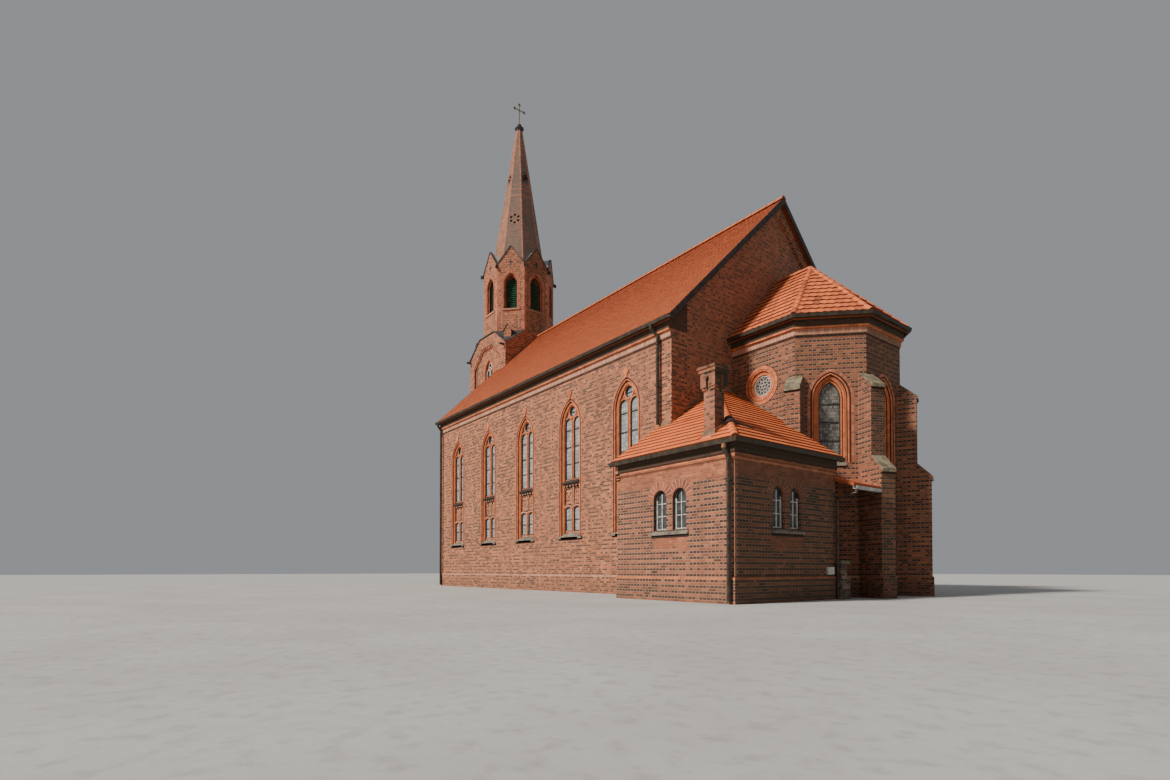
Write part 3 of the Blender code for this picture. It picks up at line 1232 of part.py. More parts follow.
def pipe(name, points, radius, finish):
    """A round pipe along straight runs between points."""
    curve = bpy.data.curves.new(name, "CURVE")
    curve.dimensions = "3D"
    curve.bevel_depth = radius
    curve.bevel_resolution = 1
    curve.use_fill_caps = True
    spline = curve.splines.new("POLY")
    spline.points.add(len(points) - 1)
    for point, place in zip(spline.points, points):
        point.co = (*place, 1.0)
    tube = bpy.data.objects.new(name, curve)
    curve.materials.append(finish)
    bpy.context.scene.collection.objects.link(tube)


def downpipe(name, x, wall_y, out, top, neck, foot, finish):
    """A vertical pipe with a swan neck from the gutter outlet back to the wall."""
    outlet_x, pipe_x = x
    side = math.copysign(1.0, wall_y)
    steps = [(outlet_x, out, top), (outlet_x, out, top - neck[0]), (pipe_x, PIPE_CLEARANCE, top - neck[1]),
             (pipe_x, PIPE_CLEARANCE, foot)]
    pipe(name, [(place, wall_y + side * reach, height) for place, reach, height in steps], PIPE_RADIUS, finish)


def downpipes(brown):
    middle = GAP + GUTTER_REACH / 2
    top = EAVE_HEIGHT - GUTTER_BOTTOM - GAP
    east = (HALF_LENGTH - EAST_OUTLET_INSET, HALF_LENGTH - EAST_PIPE_INSET)
    west = (-HALF_LENGTH + WEST_OUTLET_INSET, -HALF_LENGTH + WEST_PIPE_INSET)
    on_roof = sacristy_top(-HALF_WIDTH) + PIPE_FOOT
    for name, x, wall_y, foot in (("downpipe_front_east", east, -HALF_WIDTH, on_roof),
                                  ("downpipe_front_west", west, -HALF_WIDTH, PIPE_FOOT),
                                  ("downpipe_back_east", east, HALF_WIDTH, PIPE_FOOT),
                                  ("downpipe_back_west", west, HALF_WIDTH, PIPE_FOOT)):
        downpipe(name, x, wall_y, EAVE_OVERHANG + middle, top, (NECK_START, NECK_END), foot, brown)
    outlet = SACRISTY_EAST - SACRISTY_OUTLET_INSET
    stack = SACRISTY_EAST - SACRISTY_PIPE_INSET
    downpipe("downpipe_sacristy", (outlet, stack), SACRISTY_FRONT, SACRISTY_OVERHANG + middle,
             SACRISTY_EAVE - GUTTER_BOTTOM - GAP, (SACRISTY_NECK_START, SACRISTY_NECK_END), PIPE_FOOT, brown)


def build():
    clear_scene()
    brick = material("brick", (0.33, 0.13, 0.08), 0.85)
    tiles = material("roof_tiles", (0.62, 0.20, 0.09), 0.75)
    stone = material("stone_floor", (0.42, 0.38, 0.33), 0.8)
    glass = material("leaded_glass", (0.35, 0.40, 0.42), 0.15)
    brown = material("brown_gutters", (0.07, 0.045, 0.035), 0.55)
    oak = material("door_timber", (0.16, 0.09, 0.05), 0.6)
    paint = material("green_louvres", (0.03, 0.16, 0.08), 0.5)
    lead = material("lead", (0.09, 0.09, 0.10), 0.5, 0.6)
    gilt = material("gilt", (0.55, 0.38, 0.14), 0.4, 0.9)
    zinc = material("zinc", (0.45, 0.46, 0.47), 0.4, 0.8)

    nave_long_walls(brick, glass)
    nave_gables(brick)
    nave_roof(tiles)
    nave_eaves(brown)
    nave_floor(stone)
    chancel_walls(brick, glass)
    chancel_buttresses(brick)
    chancel_roof(tiles)
    chancel_eaves(brown)
    chancel_floor(stone)
    sacristy_walls(brick, glass)
    sacristy_door(oak)
    sacristy_roof(tiles)
    sacristy_eaves(brown)
    sacristy_floor(stone)
    chimney(brick)
    porch(tiles, brick, zinc)
    tower_base(brick)
    tower_fittings(oak, glass, stone)
    belfry(brick, paint)
    spire(brick)
    finial(lead, gilt)
    downpipes(brown)


build()
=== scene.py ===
"""Finishes and fittings of the brick church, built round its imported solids.

Metres, +Z up. The nave lies along X with the chancel at +X and the tower at -X.
A light or an opening is given as half width, sill, spring of the arch and how far the arch's
centres stand beyond the middle. A flat section is given as low and high across its path, then
back and front.
"""
import math
import random

import bmesh
import bpy
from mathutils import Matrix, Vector


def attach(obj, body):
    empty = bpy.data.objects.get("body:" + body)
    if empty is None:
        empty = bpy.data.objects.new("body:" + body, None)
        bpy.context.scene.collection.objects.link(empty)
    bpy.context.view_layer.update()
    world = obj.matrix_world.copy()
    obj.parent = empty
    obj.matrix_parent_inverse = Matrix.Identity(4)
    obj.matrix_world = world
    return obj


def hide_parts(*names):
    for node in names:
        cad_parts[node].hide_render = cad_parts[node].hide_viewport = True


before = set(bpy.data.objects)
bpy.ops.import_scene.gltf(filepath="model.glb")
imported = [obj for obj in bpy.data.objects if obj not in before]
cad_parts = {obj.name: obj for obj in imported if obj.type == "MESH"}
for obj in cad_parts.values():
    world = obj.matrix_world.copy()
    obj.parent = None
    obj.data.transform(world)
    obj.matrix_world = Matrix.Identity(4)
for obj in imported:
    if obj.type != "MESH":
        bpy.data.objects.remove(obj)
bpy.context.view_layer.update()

# Photograph and camera
PHOTO_WIDTH = 1170
PHOTO_HEIGHT = 780
SENSOR = 36.0
FOCAL_PIXELS = 609.88
HORIZON_ROW = 560.8
CAMERA_PLACE = (22.964, -19.963, 0.863)
CAMERA_TURN = math.radians(52.943)
CAMERA_PITCH = math.radians(0.864)
FAR_CLIP = 300.0

# Studio
SKY = (0.84, 0.87, 0.92, 1.0)
SKY_STRENGTH = 0.34
SUN_STRENGTH = 4.9
SUN_WIDTH = math.radians(7.0)
SUN_COLOUR = (1.0, 0.94, 0.86)
SUN_COURSE = (0.16, 0.78, -0.62)
FLOOR_HALF = 120.0
FLOOR_DROP = 0.002

# Brickwork
COURSE = 0.077
HEADER = 0.13
STRETCHER = 0.26
JOINT = 0.009
ROLL_LENGTH = 2 * COURSE
ROLL_JOINT = 0.003
UNBROKEN = 9.0          # module of a course that is one shadow gap
PROUD = 0.0015          # how far a brick or a sill that closes an arris stands in front of it

# Tiles: gauge, width, thickness at the tail and how far the tail dips in the middle
NAVE_TILE = (0.155, 0.18, 0.028, 0.012)
CHANCEL_TILE = (0.33, 0.235, 0.05, 0.05)
SAC_TILE = (0.28, 0.22, 0.042, 0.004)
TILE_SEAM = 0.0025
TILE_LAP = 1.12         # length of a tile, in gauges
TILE_HANG = 0.012       # how far a tail hangs over the row below, with up to half as much by chance
CLEAR = 0.004           # between a roof and the wall that rises over it
BEYOND = 99.0           # past the end of any slope
FILLET_OUT = 0.035

# Nave
HALF_LENGTH = 8.95
HALF_WIDTH = 5.87
EAVE = 9.095
OVERHANG = 0.22
RIDGE = 15.05
VERGE = 0.18
NAVE_SLOPE = (RIDGE - EAVE) / (HALF_WIDTH + OVERHANG)
GABLE_FACE = 8.83
# Height where the painted shade under the nave's and chancel's eaves begins
CORNICE_SHADE_FROM = 8.712
NAVE_PIPES = ((8.43, -1), (-8.81, -1), (8.43, 1), (-8.81, 1))
COLLARS = (1.2, 3.1, 5.0, 6.9, 8.3)

# Nave windows
WINDOW_CENTRES = [-0.10 + 3.41 * k for k in (-2, -1, 0, 1, 2)]
WINDOW = (0.70, 2.20, 6.61, 0.4375)
ORDER = 0.13            # width of the step between the two orders
ORDER_DEPTH = 0.07
LIGHT_HALF = 0.2225
LIGHT_SIDE = 0.29
UPPER_LIGHT = (LIGHT_HALF, 4.50, 6.75, 0.0)
LOWER_LIGHT = (LIGHT_HALF, 2.43, 3.32, 0.08)    # a low arch: the last number is its rise
BLIND_PANEL = (LIGHT_HALF, 3.52, 3.98, 0.06)
ROUNDEL = (7.19, 0.21)                          # height and radius
UPPER_BARS = (5.12, 5.80, 6.48)
LOWER_BARS = (2.88,)
TRACERY = 0.145
TRACERY_BACK = -TRACERY - 0.01
TRACERY_BEAD = (-PROUD, 0.045, TRACERY_BACK, -TRACERY + 0.024)
GLASS_DEPTH = 0.20
FRAME_BAR = (-0.026, 0.004, -GLASS_DEPTH - 0.01, -GLASS_DEPTH + 0.035)
SILL_HALF = 0.565
OUTER_SILL_HALF = 0.80
DENTILS = 6
DENTIL_PITCH = 0.205
HALF_FINIAL = ((0.055, 7.66), (0.045, 7.76), (0.120, 7.84), (0.135, 7.91), (0.070, 7.98))
FINIAL_TIP = 8.05

# Chancel
CHANCEL_HALF = 2.6556
CHANCEL_CORNER = 11.35
CHANCEL_END = 12.9056
CHANCEL_SIDE = 1.10
CHANCEL_PATH = [(GABLE_FACE, -CHANCEL_HALF), (CHANCEL_CORNER, -CHANCEL_HALF),
                (CHANCEL_END, -CHANCEL_SIDE), (CHANCEL_END, CHANCEL_SIDE),
                (CHANCEL_CORNER, CHANCEL_HALF), (GABLE_FACE, CHANCEL_HALF)]
CHANCEL_WINDOW = (0.60, 4.30, 6.42, 0.25)
CHANCEL_LIGHT = (0.34, 4.50, 6.42, 0.25)
CHANCEL_BARS = (5.05, 5.65, 6.25)
OCULUS = (10.03, 7.17, 0.54, 0.36)      # place, height, outer and inner radius
# Its holes: number, distance from the middle, radius and lag
OCULUS_HOLES = ((1, 0.0, 0.05, 0.0), (6, 0.125, 0.05, 0.0), (12, 0.235, 0.048, 0.5))
BUTTRESS_STAGES = ((0.50, 6.66, 0.0, 7.12), (0.92, 3.95, 0.50, 4.42))  # reach and foot, back and head

# Sacristy
SAC_WEST = 8.48
SAC_EAST = 13.04
SAC_FRONT = -7.77
SAC_NORTH = -3.19
SAC_EAVE = 4.197
SAC_OVERHANG = 0.143
SAC_SLOPE = 0.688
SAC_WINDOWS_FRONT = (10.37, 11.13)
SAC_WINDOWS_EAST = (-5.93, -5.17)
SAC_WINDOW = (0.26, 1.98, 2.88, 0.0)
SAC_LIGHT = (0.19, 2.03, 2.88, 0.0)
SAC_RAILS = (2.39, 2.75)
SAC_FRAME_BACK = -0.13
SAC_SILL = (1.85, 0.35)                 # underside, and how far it reaches past the middle of a light
SAC_NAVE_WALL = -5.88                   # where its roof meets the nave
# Height where the painted shade under the sacristy's eaves begins
SAC_CORNICE_SHADE_FROM = 3.857
SAC_PIPE = (12.95, -7.89)
CHIMNEY = (11.81, -7.52, 0.38)          # west side, front and width
CHIMNEY_GAP = (11.80, 12.21, -7.54, -7.12)      # where no tiles lie: west, east, front and back
HIP_SHEET = ((12.42, -7.15, 4.75), (12.02, -6.75, 5.03))
LEAD_STRIP = ((12.26, -6.922), (12.44, -6.285))
QUOIN_FOOT = 0.70
QUOIN_TOP = 3.60
STEPPED_CORNER = 8.60                           # how far the steps under the eaves reach at the west
STEPS = (3.60, 3.68, 3.76)
CASE = ((-3.67, -3.33), (0.73, 0.95))           # the white case on the east wall
CASE_LID = ((-3.64, -3.36), (0.75, 0.93))
PIER_CAP = ((12.808, -3.192), (13.2525, -2.7475))
PIER_CAP_HEIGHTS = (1.037, 1.1425)

# Courses round the walls: piece, height, flat section and module; the dark ones are painted shadow
NAVE_COURSES = (("orange", 8.662, (0.0, 0.05, 0.0, 0.124), STRETCHER),
                ("pale", 8.475, (0.0, 0.178, 0.0, 0.045), HEADER),
                ("shade_gaps", 8.395, (0.0, 0.045, -0.02, 0.010), UNBROKEN),
                ("pale", 0.615, (0.0, 0.06, 0.0, 0.054), HEADER))
SAC_COURSES = (("shade_gaps", 3.816, (0.0, 0.041, 0.0, 0.075), UNBROKEN),
               ("orange", 3.762, (0.0, 0.050, 0.0, 0.055), STRETCHER),
               ("shade_gaps", 3.718, (0.0, 0.042, -0.02, 0.014), UNBROKEN),
               ("orange", 0.615, (0.0, 0.06, 0.0, 0.054), HEADER))

# Tower and spire
TOWER_X = -10.47
TOWER_HALF = 2.28
BELFRY = 2.06
SPIRE_FOOT = (1.63, 19.28)
SPIRE_TIP = (0.19, 28.95)
GABLET = (19.37, 20.50)
TOWER_SHOULDER = 14.25
TOWER_TOP = 15.25
SHOULDER_HALF = 0.90
PANEL_HALF = 1.67
PANEL_BOTTOM = 9.00
PANEL_SHOULDER = 13.70
PANEL_TOP = 14.62
PANEL_TOP_HALF = 0.60
PANEL_BACK = -0.13
PINNACLE_FACE = 2.78
TOWER_WINDOW = (11.70, 13.02, 0.12, 0.15)       # sill, spring, depth of its face and of its tracery
WEST_WINDOW = (5.20, 7.40, 0.006, 0.20)
TOWER_BARS = (0.5, 0.95, 1.4, 1.85)             # above the sill
WEST_DOOR = (1.20, 0.30, 2.15, 0.5)
STRAP_HEIGHTS = (0.75, 1.75)
BELFRY_LIGHT = (0.48, 16.69, 18.22, 0.30)
BELFRY_FOOT = 15.40
LOUVRES = 16
LOUVRE_FOOT = 16.78
LOUVRE_PITCH = 0.115
LOUVRE_HALF = 0.35
SPIRE_ROWS = 96
SPIRE_TEETH = (0.085, 0.05)                     # reach of the arris bricks in even and odd rows
SPIRE_BANDS = (24.30, 24.72, 25.05, 27.72)

# What tints the walls and roofs, and the painted shade on them
KILN_GRAIN = (0.54, 0.20, 0.10)
WALL_STREAK = (0.11, 0.055, 0.035)
# Painted shade on east faces of the walls, with a little green-black damp in it
WALL_EAST_SHADE = (0.040, 0.032, 0.018)
TRIM_STREAK = (0.14, 0.065, 0.04)
# Painted shade on east faces of the moulded bricks
TRIM_EAST_SHADE = (0.055, 0.038, 0.022)
OLD_GREY = (0.150, 0.128, 0.106)
MOSS = (0.030, 0.032, 0.018)
RUN_STAIN = (0.028, 0.022, 0.018)
DAMP = (0.09, 0.065, 0.04)
# Painted shade under the eaves
EAVES_SHADE_COLOUR = (0.045, 0.032, 0.018)
TILE_GRAIN = (0.34, 0.11, 0.05)
LICHEN = (0.20, 0.16, 0.09)
LEAD_LINE = (0.05, 0.05, 0.05)
FLAG_GREYS = ((0.30, 0.27, 0.23), (0.40, 0.36, 0.31), (0.14, 0.12, 0.10), (0.22, 0.19, 0.16))

UP = Vector((0.0, 0.0, 1.0))
chance = random.Random(7)


class Face:
    """A vertical plane: a start point, a direction along it and the outward normal."""

    def __init__(self, start, end, shift=0.0):
        run = Vector((end[0] - start[0], end[1] - start[1], 0.0))
        self.length = run.length
        self.along = run.normalized()
        self.out = Vector((self.along.y, -self.along.x, 0.0))
        self.start = Vector((start[0], start[1], 0.0)) + self.out * shift

    def point(self, along, height, out=0.0):
        return self.start + self.along * along + self.out * out + UP * height


class Solid:
    """Corners and faces of one piece, gathered before they become a mesh."""

    def __init__(self):
        self.corners = []
        self.faces = []

    def add(self, corners, faces):
        base = len(self.corners)
        self.corners.extend(tuple(c) for c in corners)
        self.faces.extend(tuple(base + i for i in face) for face in faces)

    def loft(self, rings, closed=False):
        """Join rings of equal size; an open loft gets a cap at each end."""
        size = len(rings[0])
        count = len(rings)
        faces = []
        for k in range(count if closed else count - 1):
            a, b = k * size, (k + 1) % count * size
            faces += [(a + i, b + i, b + (i + 1) % size, a + (i + 1) % size) for i in range(size)]
        if not closed:
            faces += [tuple(range(size)), tuple(reversed(range((count - 1) * size, count * size)))]
        self.add([c for ring in rings for c in ring], faces)

    def prism(self, face, outline, inner, outer):
        self.loft([[face.point(a, h, o) for a, h in outline] for o in (inner, outer)])

    def block(self, face, a, h, o):
        """A box between pairs of distances along, up and out from a face."""
        self.prism(face, [(a[0], h[0]), (a[1], h[0]), (a[1], h[1]), (a[0], h[1])], o[0], o[1])

    def rail(self, face, profile, low, high):
        """A bar along a face from (out, height) points."""
        self.loft([[face.point(a, h, o) for o, h in profile] for a in (low, high)])

    def sheet(self, corners, thickness):
        """A flat plate lying on top of its corners."""
        corners = [Vector(c) for c in corners]
        lift = (corners[1] - corners[0]).cross(corners[2] - corners[0]).normalized() * thickness
        if lift.z < 0.0:
            lift = -lift
        self.loft([corners, [c + lift for c in corners]])

    def tube(self, points, radius, sides=8):
        """A round bar along straight stretches."""
        rings = []
        for i, point in enumerate(points):
            before = points[max(i - 1, 0)]
            after = points[min(i + 1, len(points) - 1)]
            run = (Vector(after) - Vector(before)).normalized()
            side = run.cross(UP if abs(run.z) < 0.9 else Vector((1.0, 0.0, 0.0))).normalized()
            other = side.cross(run)
            turns = [math.tau * k / sides for k in range(sides)]
            arms = [side * math.cos(t) + other * math.sin(t) for t in turns]
            rings.append([Vector(point) + arm * radius for arm in arms])
        self.loft(rings)

    def make(self, name, finish, slot, replaces=()):
        mesh = bpy.data.meshes.new(name)
        mesh.from_pydata(self.corners, [], self.faces)
        bm = bmesh.new()
        bm.from_mesh(mesh)
        bmesh.ops.recalc_face_normals(bm, faces=bm.faces)
        bm.to_mesh(mesh)
        bm.free()
        mesh.materials.append(finish)
        piece = bpy.data.objects.new(name, mesh)
        bpy.context.scene.collection.objects.link(piece)
        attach(piece, "root")
        if replaces:
            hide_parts(*replaces)
        return piece


def arch_path(centre, half, foot, spring, offset, steps=10):
    """From the foot of the left jamb over the head to the foot of the right jamb."""
    radius = half + offset
    crown = math.acos(offset / radius)
    turns = [crown * i / steps for i in range(steps + 1)]
    right = [(centre - offset + radius * math.cos(t), spring + radius * math.sin(t)) for t in turns]
    left = [(2 * centre - a, h) for a, h in right[:-1]]
    return [(centre - half, foot)] + left + right[::-1] + [(centre + half, foot)]


def round_path(centre, height, radius, steps=24):
    """Once round a circle, back to its start."""
    turns = [math.tau * i / steps for i in range(steps + 1)]
    return [(centre - radius * math.cos(t), height + radius * math.sin(t)) for t in turns]


def round_section(radius, across, out, sides=6):
    """The section of a roll: points across the path and out of the face."""
    turns = [math.tau * k / sides for k in range(sides)]
    return [(across + radius * math.cos(t), out + radius * math.sin(t)) for t in turns]


def flat_section(low, high, back, front):
    """The section of a flat strip."""
    return [(low, back), (high, back), (high, front), (low, front)]


def stretches(path, module, joint):
    """Cut a path into even lengths with a joint between them, each with its end directions."""
    points = [Vector(p) for p in path]
    marks = [0.0]
    for a, b in zip(points, points[1:]):
        marks.append(marks[-1] + (b - a).length)
    total = marks[-1]

    def at(distance):
        distance = min(max(distance, 0.0), total)
        for i in range(len(points) - 1):
            if distance <= marks[i + 1] or i == len(points) - 2:
                share = (distance - marks[i]) / max(marks[i + 1] - marks[i], 1e-9)
                return points[i].lerp(points[i + 1], share)

    count = max(1, round(total / module))
    step = total / count
    for k in range(count):
        ends = []
        for distance in (k * step + joint / 2, (k + 1) * step - joint / 2):
            run = (at(distance + step / 4) - at(distance - step / 4)).normalized()
            ends.append((at(distance), run))
        yield ends


def moulding(solid, face, path, section, module, joint, mitre=(0.0, 0.0)):
    """Bricks of one section laid along a path on a face. Across is left of the path."""
    pieces = list(stretches(path, module, joint))
    for k, ends in enumerate(pieces):
        rings = []
        for side, (point, run) in enumerate(ends):
            slope = 0.0
            if side == 0 and k == 0:
                slope = -mitre[0]
            if side == 1 and k == len(pieces) - 1:
                slope = mitre[1]
            rings.append([face.point(point.x - run.y * a + slope * o, point.y + run.x * a, o)
                          for a, o in section])
        solid.loft(rings)


def border(solid, face, path, section, closed=False):
    """One unbroken bead of a section along a path on a face, mitred at each turn."""
    points = [Vector(p) for p in path]
    count = len(points)
    rings = []
    for i, point in enumerate(points):
        runs = []
        if i > 0 or closed:
            runs.append((point - points[i - 1]).normalized())
        if i < count - 1 or closed:
            runs.append((points[(i + 1) % count] - point).normalized())
        lefts = [Vector((-run.y, run.x)) for run in runs]
        mean = lefts[0]
        if len(lefts) == 2:
            mean = (lefts[0] + lefts[1]) / (1.0 + lefts[0].dot(lefts[1]))
        rings.append([face.point(point.x + mean.x * a, point.y + mean.y * a, o) for a, o in section])
    solid.loft(rings, closed)


def wall_courses(solid, corners, height, flat, module):
    """One flat course round the outside of a run of walls, mitred at the corners."""
    faces = [Face(a, b) for a, b in zip(corners, corners[1:])]
    for i, face in enumerate(faces):
        turns = []
        for other, order in ((i - 1, -1), (i + 1, 1)):
            if 0 <= other < len(faces):
                turn = face.along.cross(faces[other].along).z * order
                turns.append(math.tan(math.asin(max(-1.0, min(1.0, turn))) / 2))
            else:
                turns.append(0.0)
        path = [(0.0, height), (face.length, height)]
        moulding(solid, face, path, flat_section(*flat), module, JOINT, turns)


def span(outline, s):
    """Lowest and highest place along a row where it crosses the outline of a slope."""
    crossings = []
    for (a, p), (b, q) in zip(outline, outline[1:] + outline[:1]):
        if (p <= s) != (q <= s):
            crossings.append(a + (b - a) * (s - p) / (q - p))
    return (min(crossings), max(crossings)) if len(crossings) > 1 else None


def tiled(solid, outline, corner, along, slope, gauge, width, rise, dip, holes=()):
    """Lay overlapping tiles with curved tails over a slope given by its plan outline."""
    along = Vector((along[0], along[1], 0.0)).normalized()
    inward = Vector((-along.y, along.x, 0.0))
    level = math.sqrt(1.0 + slope * slope)
    up = (inward + UP * slope) / level
    out = along.cross(up).normalized()
    corner = Vector(corner)
    flat = []
    for x, y in outline:
        offset = Vector((x, y, 0.0)) - Vector((corner.x, corner.y, 0.0))
        flat.append((offset.dot(along), offset.dot(inward) * level))
    low = min(s for a, s in flat)
    high = max(s for a, s in flat)
    for row in range(math.ceil((high - low) / gauge)):
        foot = low + row * gauge
        head = min(foot + gauge * TILE_LAP, high)
        lower = span(flat, foot + 0.002)
        upper = span(flat, head - 0.002)
        if lower is None:
            continue
        if upper is None:
            upper = lower
        place = math.floor(lower[0] / width) * width - (row % 2) * width / 2
        while place < lower[1]:
            a0, a1 = max(place, lower[0]), min(place + width, lower[1])
            b0, b1 = max(place, upper[0]), min(place + width, upper[1])
            middle = place + width / 2
            place += width
            if a1 - a0 < 0.02 or any(h[0] < middle < h[1] and h[2] < foot + gauge / 2 < h[3] for h in holes):
                continue
            if b1 - b0 < 0.004:
                b0 = b1 = min(max((b0 + b1) / 2, a0), a1)
                b0, b1 = b0 - 0.002, b1 + 0.002
            lift = rise + chance.uniform(-0.002, 0.002)
            tail = foot - TILE_HANG - chance.uniform(0.0, TILE_HANG / 2)
            shape = [(a0 + TILE_SEAM, tail), ((a0 + a1) / 2, tail - dip), (a1 - TILE_SEAM, tail)]
            top = [corner + along * a + up * s + out * lift for a, s in shape]
            under = [corner + along * a + up * s + out * 0.004 for a, s in shape]
            back = [corner + along * b + up * head + out * 0.005 for b in (b0 + TILE_SEAM, b1 - TILE_SEAM)]
            solid.add(top + under + back, [(0, 1, 2, 7, 6), (5, 4, 3, 6, 7), (0, 3, 4, 1), (1, 4, 5, 2),
                                           (0, 6, 3), (2, 5, 7)])


def cap_tiles(solid, start, end, radius, length, sides=8):
    """Half-round tiles lapped along a ridge or hip, wider at the lower end of each."""
    start, end = Vector(start), Vector(end)
    run = (end - start).normalized()
    side = run.cross(UP).normalized()
    rise = side.cross(run).normalized()
    count = max(1, round((end - start).length / length))
    step = (end - start).length / count
    for k in range(count):
        rings = []
        for distance, size in ((k * step - 0.01, radius), (k * step + 0.03, radius),
                               ((k + 1) * step + 0.02, radius * 0.86)):
            middle = start + run * distance - rise * radius * 0.35
            rings.append([middle + side * size * math.cos(math.pi * i / sides)
                          + rise * size * math.sin(math.pi * i / sides) for i in range(sides + 1)])
        solid.loft(rings)


class Graph:
    """Adds nodes to a material or a group and joins them."""

    def __init__(self, tree):
        self.tree = tree

    def node(self, kind, inputs=None, **settings):
        made = self.tree.nodes.new("ShaderNode" + kind)
        for key, value in settings.items():
            setattr(made, key, value)
        for key, value in (inputs or {}).items():
            self.put(made.inputs[key], value)
        return made

    def put(self, socket, value):
        """Link a socket, or set it; a colour of three numbers gets its fourth."""
        if isinstance(value, bpy.types.NodeSocket):
            self.tree.links.new(value, socket)
        elif isinstance(value, tuple) and len(value) == 3 and len(socket.default_value) == 4:
            socket.default_value = (*value, 1.0)
        else:
            socket.default_value = value

    def math(self, operation, *values):
        return self.node("Math", dict(enumerate(values)), operation=operation).outputs[0]

    def times(self, a, b):
        return self.math("MULTIPLY", a, b)

    def plus(self, a, b):
        return self.math("ADD", a, b)

    def less(self, a, b):
        return self.math("SUBTRACT", a, b)

    def rest(self, share):
        """What a share leaves of 1."""
        return self.less(1.0, share)

    def step(self, value, low, high):
        """Smooth rise from 0 to 1 between two values."""
        made = self.node("MapRange", {"Value": value, "From Min": low, "From Max": high},
                         interpolation_type="SMOOTHSTEP")
        return made.outputs[0]

    def edge(self, value):
        """How far a value is from the nearer whole number."""
        part = self.math("FRACT", value)
        return self.math("MINIMUM", part, self.rest(part))

    def mix(self, share, a, b):
        return self.node("Mix", {0: share, 6: a, 7: b}, data_type="RGBA").outputs[2]

    def tint(self, colour, mask, amount, shade):
        """Bring a shade into a colour where a mask is, by an amount at most."""
        return self.mix(self.times(mask, amount), colour, shade)

    def ramp(self, value, *stops):
        made = self.node("ValToRGB", {"Fac": value})
        ramp = made.color_ramp
        while len(ramp.elements) < len(stops):
            ramp.elements.new(0.5)
        for element, (position, colour) in zip(ramp.elements, stops):
            element.position = position
            element.color = (*colour, 1.0)
        return made.outputs["Color"]

    def noise(self, place, scale, detail=3.0, rough=0.55):
        settings = {"Vector": place, "Scale": scale, "Detail": detail, "Roughness": rough}
        return self.node("TexNoise", settings).outputs["Fac"]

    def lot(self, number):
        """A tone of its own for each number."""
        return self.node("TexWhiteNoise", {"Vector": number}).outputs["Value"]

    def place(self):
        return self.node("TexCoord").outputs["Object"]

    def normal(self):
        return self.parts(self.node("NewGeometry").outputs["Normal"])

    def each_piece(self):
        """A tone of its own for each separate brick or tile."""
        return self.node("NewGeometry").outputs["Random Per Island"]

    def parts(self, vector):
        return self.node("SeparateXYZ", {0: vector}).outputs

    def stretch(self, place, x, y, z):
        return self.node("VectorMath", {0: place, 1: (x, y, z)}, operation="MULTIPLY").outputs[0]

    def use(self, tree, **inputs):
        return self.node("Group", inputs, node_tree=tree).outputs


def shared(name, inputs, outputs, fill):
    """A node group with named sockets; fill gives the socket for each output."""
    tree = bpy.data.node_groups.new(name, "ShaderNodeTree")
    for label, value in inputs:
        made = tree.interface.new_socket(name=label, in_out="INPUT", socket_type="NodeSocketFloat")
        made.default_value = value
    for label in outputs:
        tree.interface.new_socket(name=label, in_out="OUTPUT", socket_type="NodeSocketFloat")
    sources = tree.nodes.new("NodeGroupInput").outputs
    results = tree.nodes.new("NodeGroupOutput").inputs
    for label, socket in fill(Graph(tree), sources).items():
        tree.links.new(socket, results[label])
    return tree


def brick_bond(g, given):
    """Cross bond: rows of stretchers and of headers, with a number for every brick."""
    x, y, z = g.parts(g.place())
    east, north, _ = g.normal()
    level = g.math("SQRT", g.plus(g.times(east, east), g.times(north, north)))
    along = g.math("DIVIDE", g.less(g.times(east, y), g.times(north, x)), g.math("MAXIMUM", level, 0.05))
    wobble = g.times(g.noise(g.place(), 1.3, 1.0), 0.006)
    height = g.math("DIVIDE", g.plus(z, wobble), COURSE)
    row = g.math("FLOOR", height)
    header = g.math("MODULO", row, 2.0)
    width = g.less(STRETCHER, g.times(header, HEADER))
    lag = g.times(g.math("MODULO", g.math("FLOOR", g.times(row, 0.5)), 2.0), 0.5)
    lag = g.plus(g.times(lag, g.rest(header)), g.times(header, 0.5))
    across = g.plus(g.math("DIVIDE", g.plus(along, wobble), width), lag)
    edge = g.math("MINIMUM", g.times(g.edge(across), width), g.times(g.edge(height), COURSE))
    joint = g.rest(g.step(edge, given["Joint"], g.plus(given["Joint"], 0.004)))
    number = g.node("CombineXYZ", {0: g.math("FLOOR", across), 1: row, 2: header}).outputs[0]
    spread = g.times(g.less(g.noise(g.place(), 0.6, 2.0), 0.5), given["Spread"])
    other = g.lot(g.stretch(number, 1.7, 2.3, 1.0))
    weight = g.plus(g.plus(other, g.times(header, given["Headers"])), spread)
    burnt = g.step(weight, given["Burnt"], g.plus(given["Burnt"], 0.22))
    return {"Joint": joint, "Tone": g.lot(number), "Burnt": burnt}


def weather(g, given):
    """Patches, downward streaks and a damp foot."""
    place = g.place()
    patches = g.step(g.noise(g.stretch(place, 0.5, 0.5, 0.35), given["Scale"], 4.0, 0.6), 0.42, 0.68)
    streaks = g.step(g.noise(g.stretch(place, 3.0, 3.0, 0.22), given["Scale"], 3.0, 0.6), 0.45, 0.75)
    low = g.rest(g.step(g.parts(place)[2], 0.0, given["Foot"]))
    return {"Patches": patches, "Streaks": streaks, "Foot": g.times(low, g.noise(place, 2.3, 3.0))}


BOND = shared("Brick bond", [("Joint", 0.006), ("Headers", 0.45), ("Burnt", 0.80), ("Spread", 0.6)],
              ["Joint", "Tone", "Burnt"], brick_bond)
WEATHER = shared("Weather", [("Scale", 1.0), ("Foot", 0.9)], ["Patches", "Streaks", "Foot"], weather)


def shade(colour, factor):
    """A colour made darker."""
    return tuple(factor * c for c in colour)


def halfway(a, b):
    """The colour between two colours."""
    return tuple((x + y) / 2 for x, y in zip(a, b))


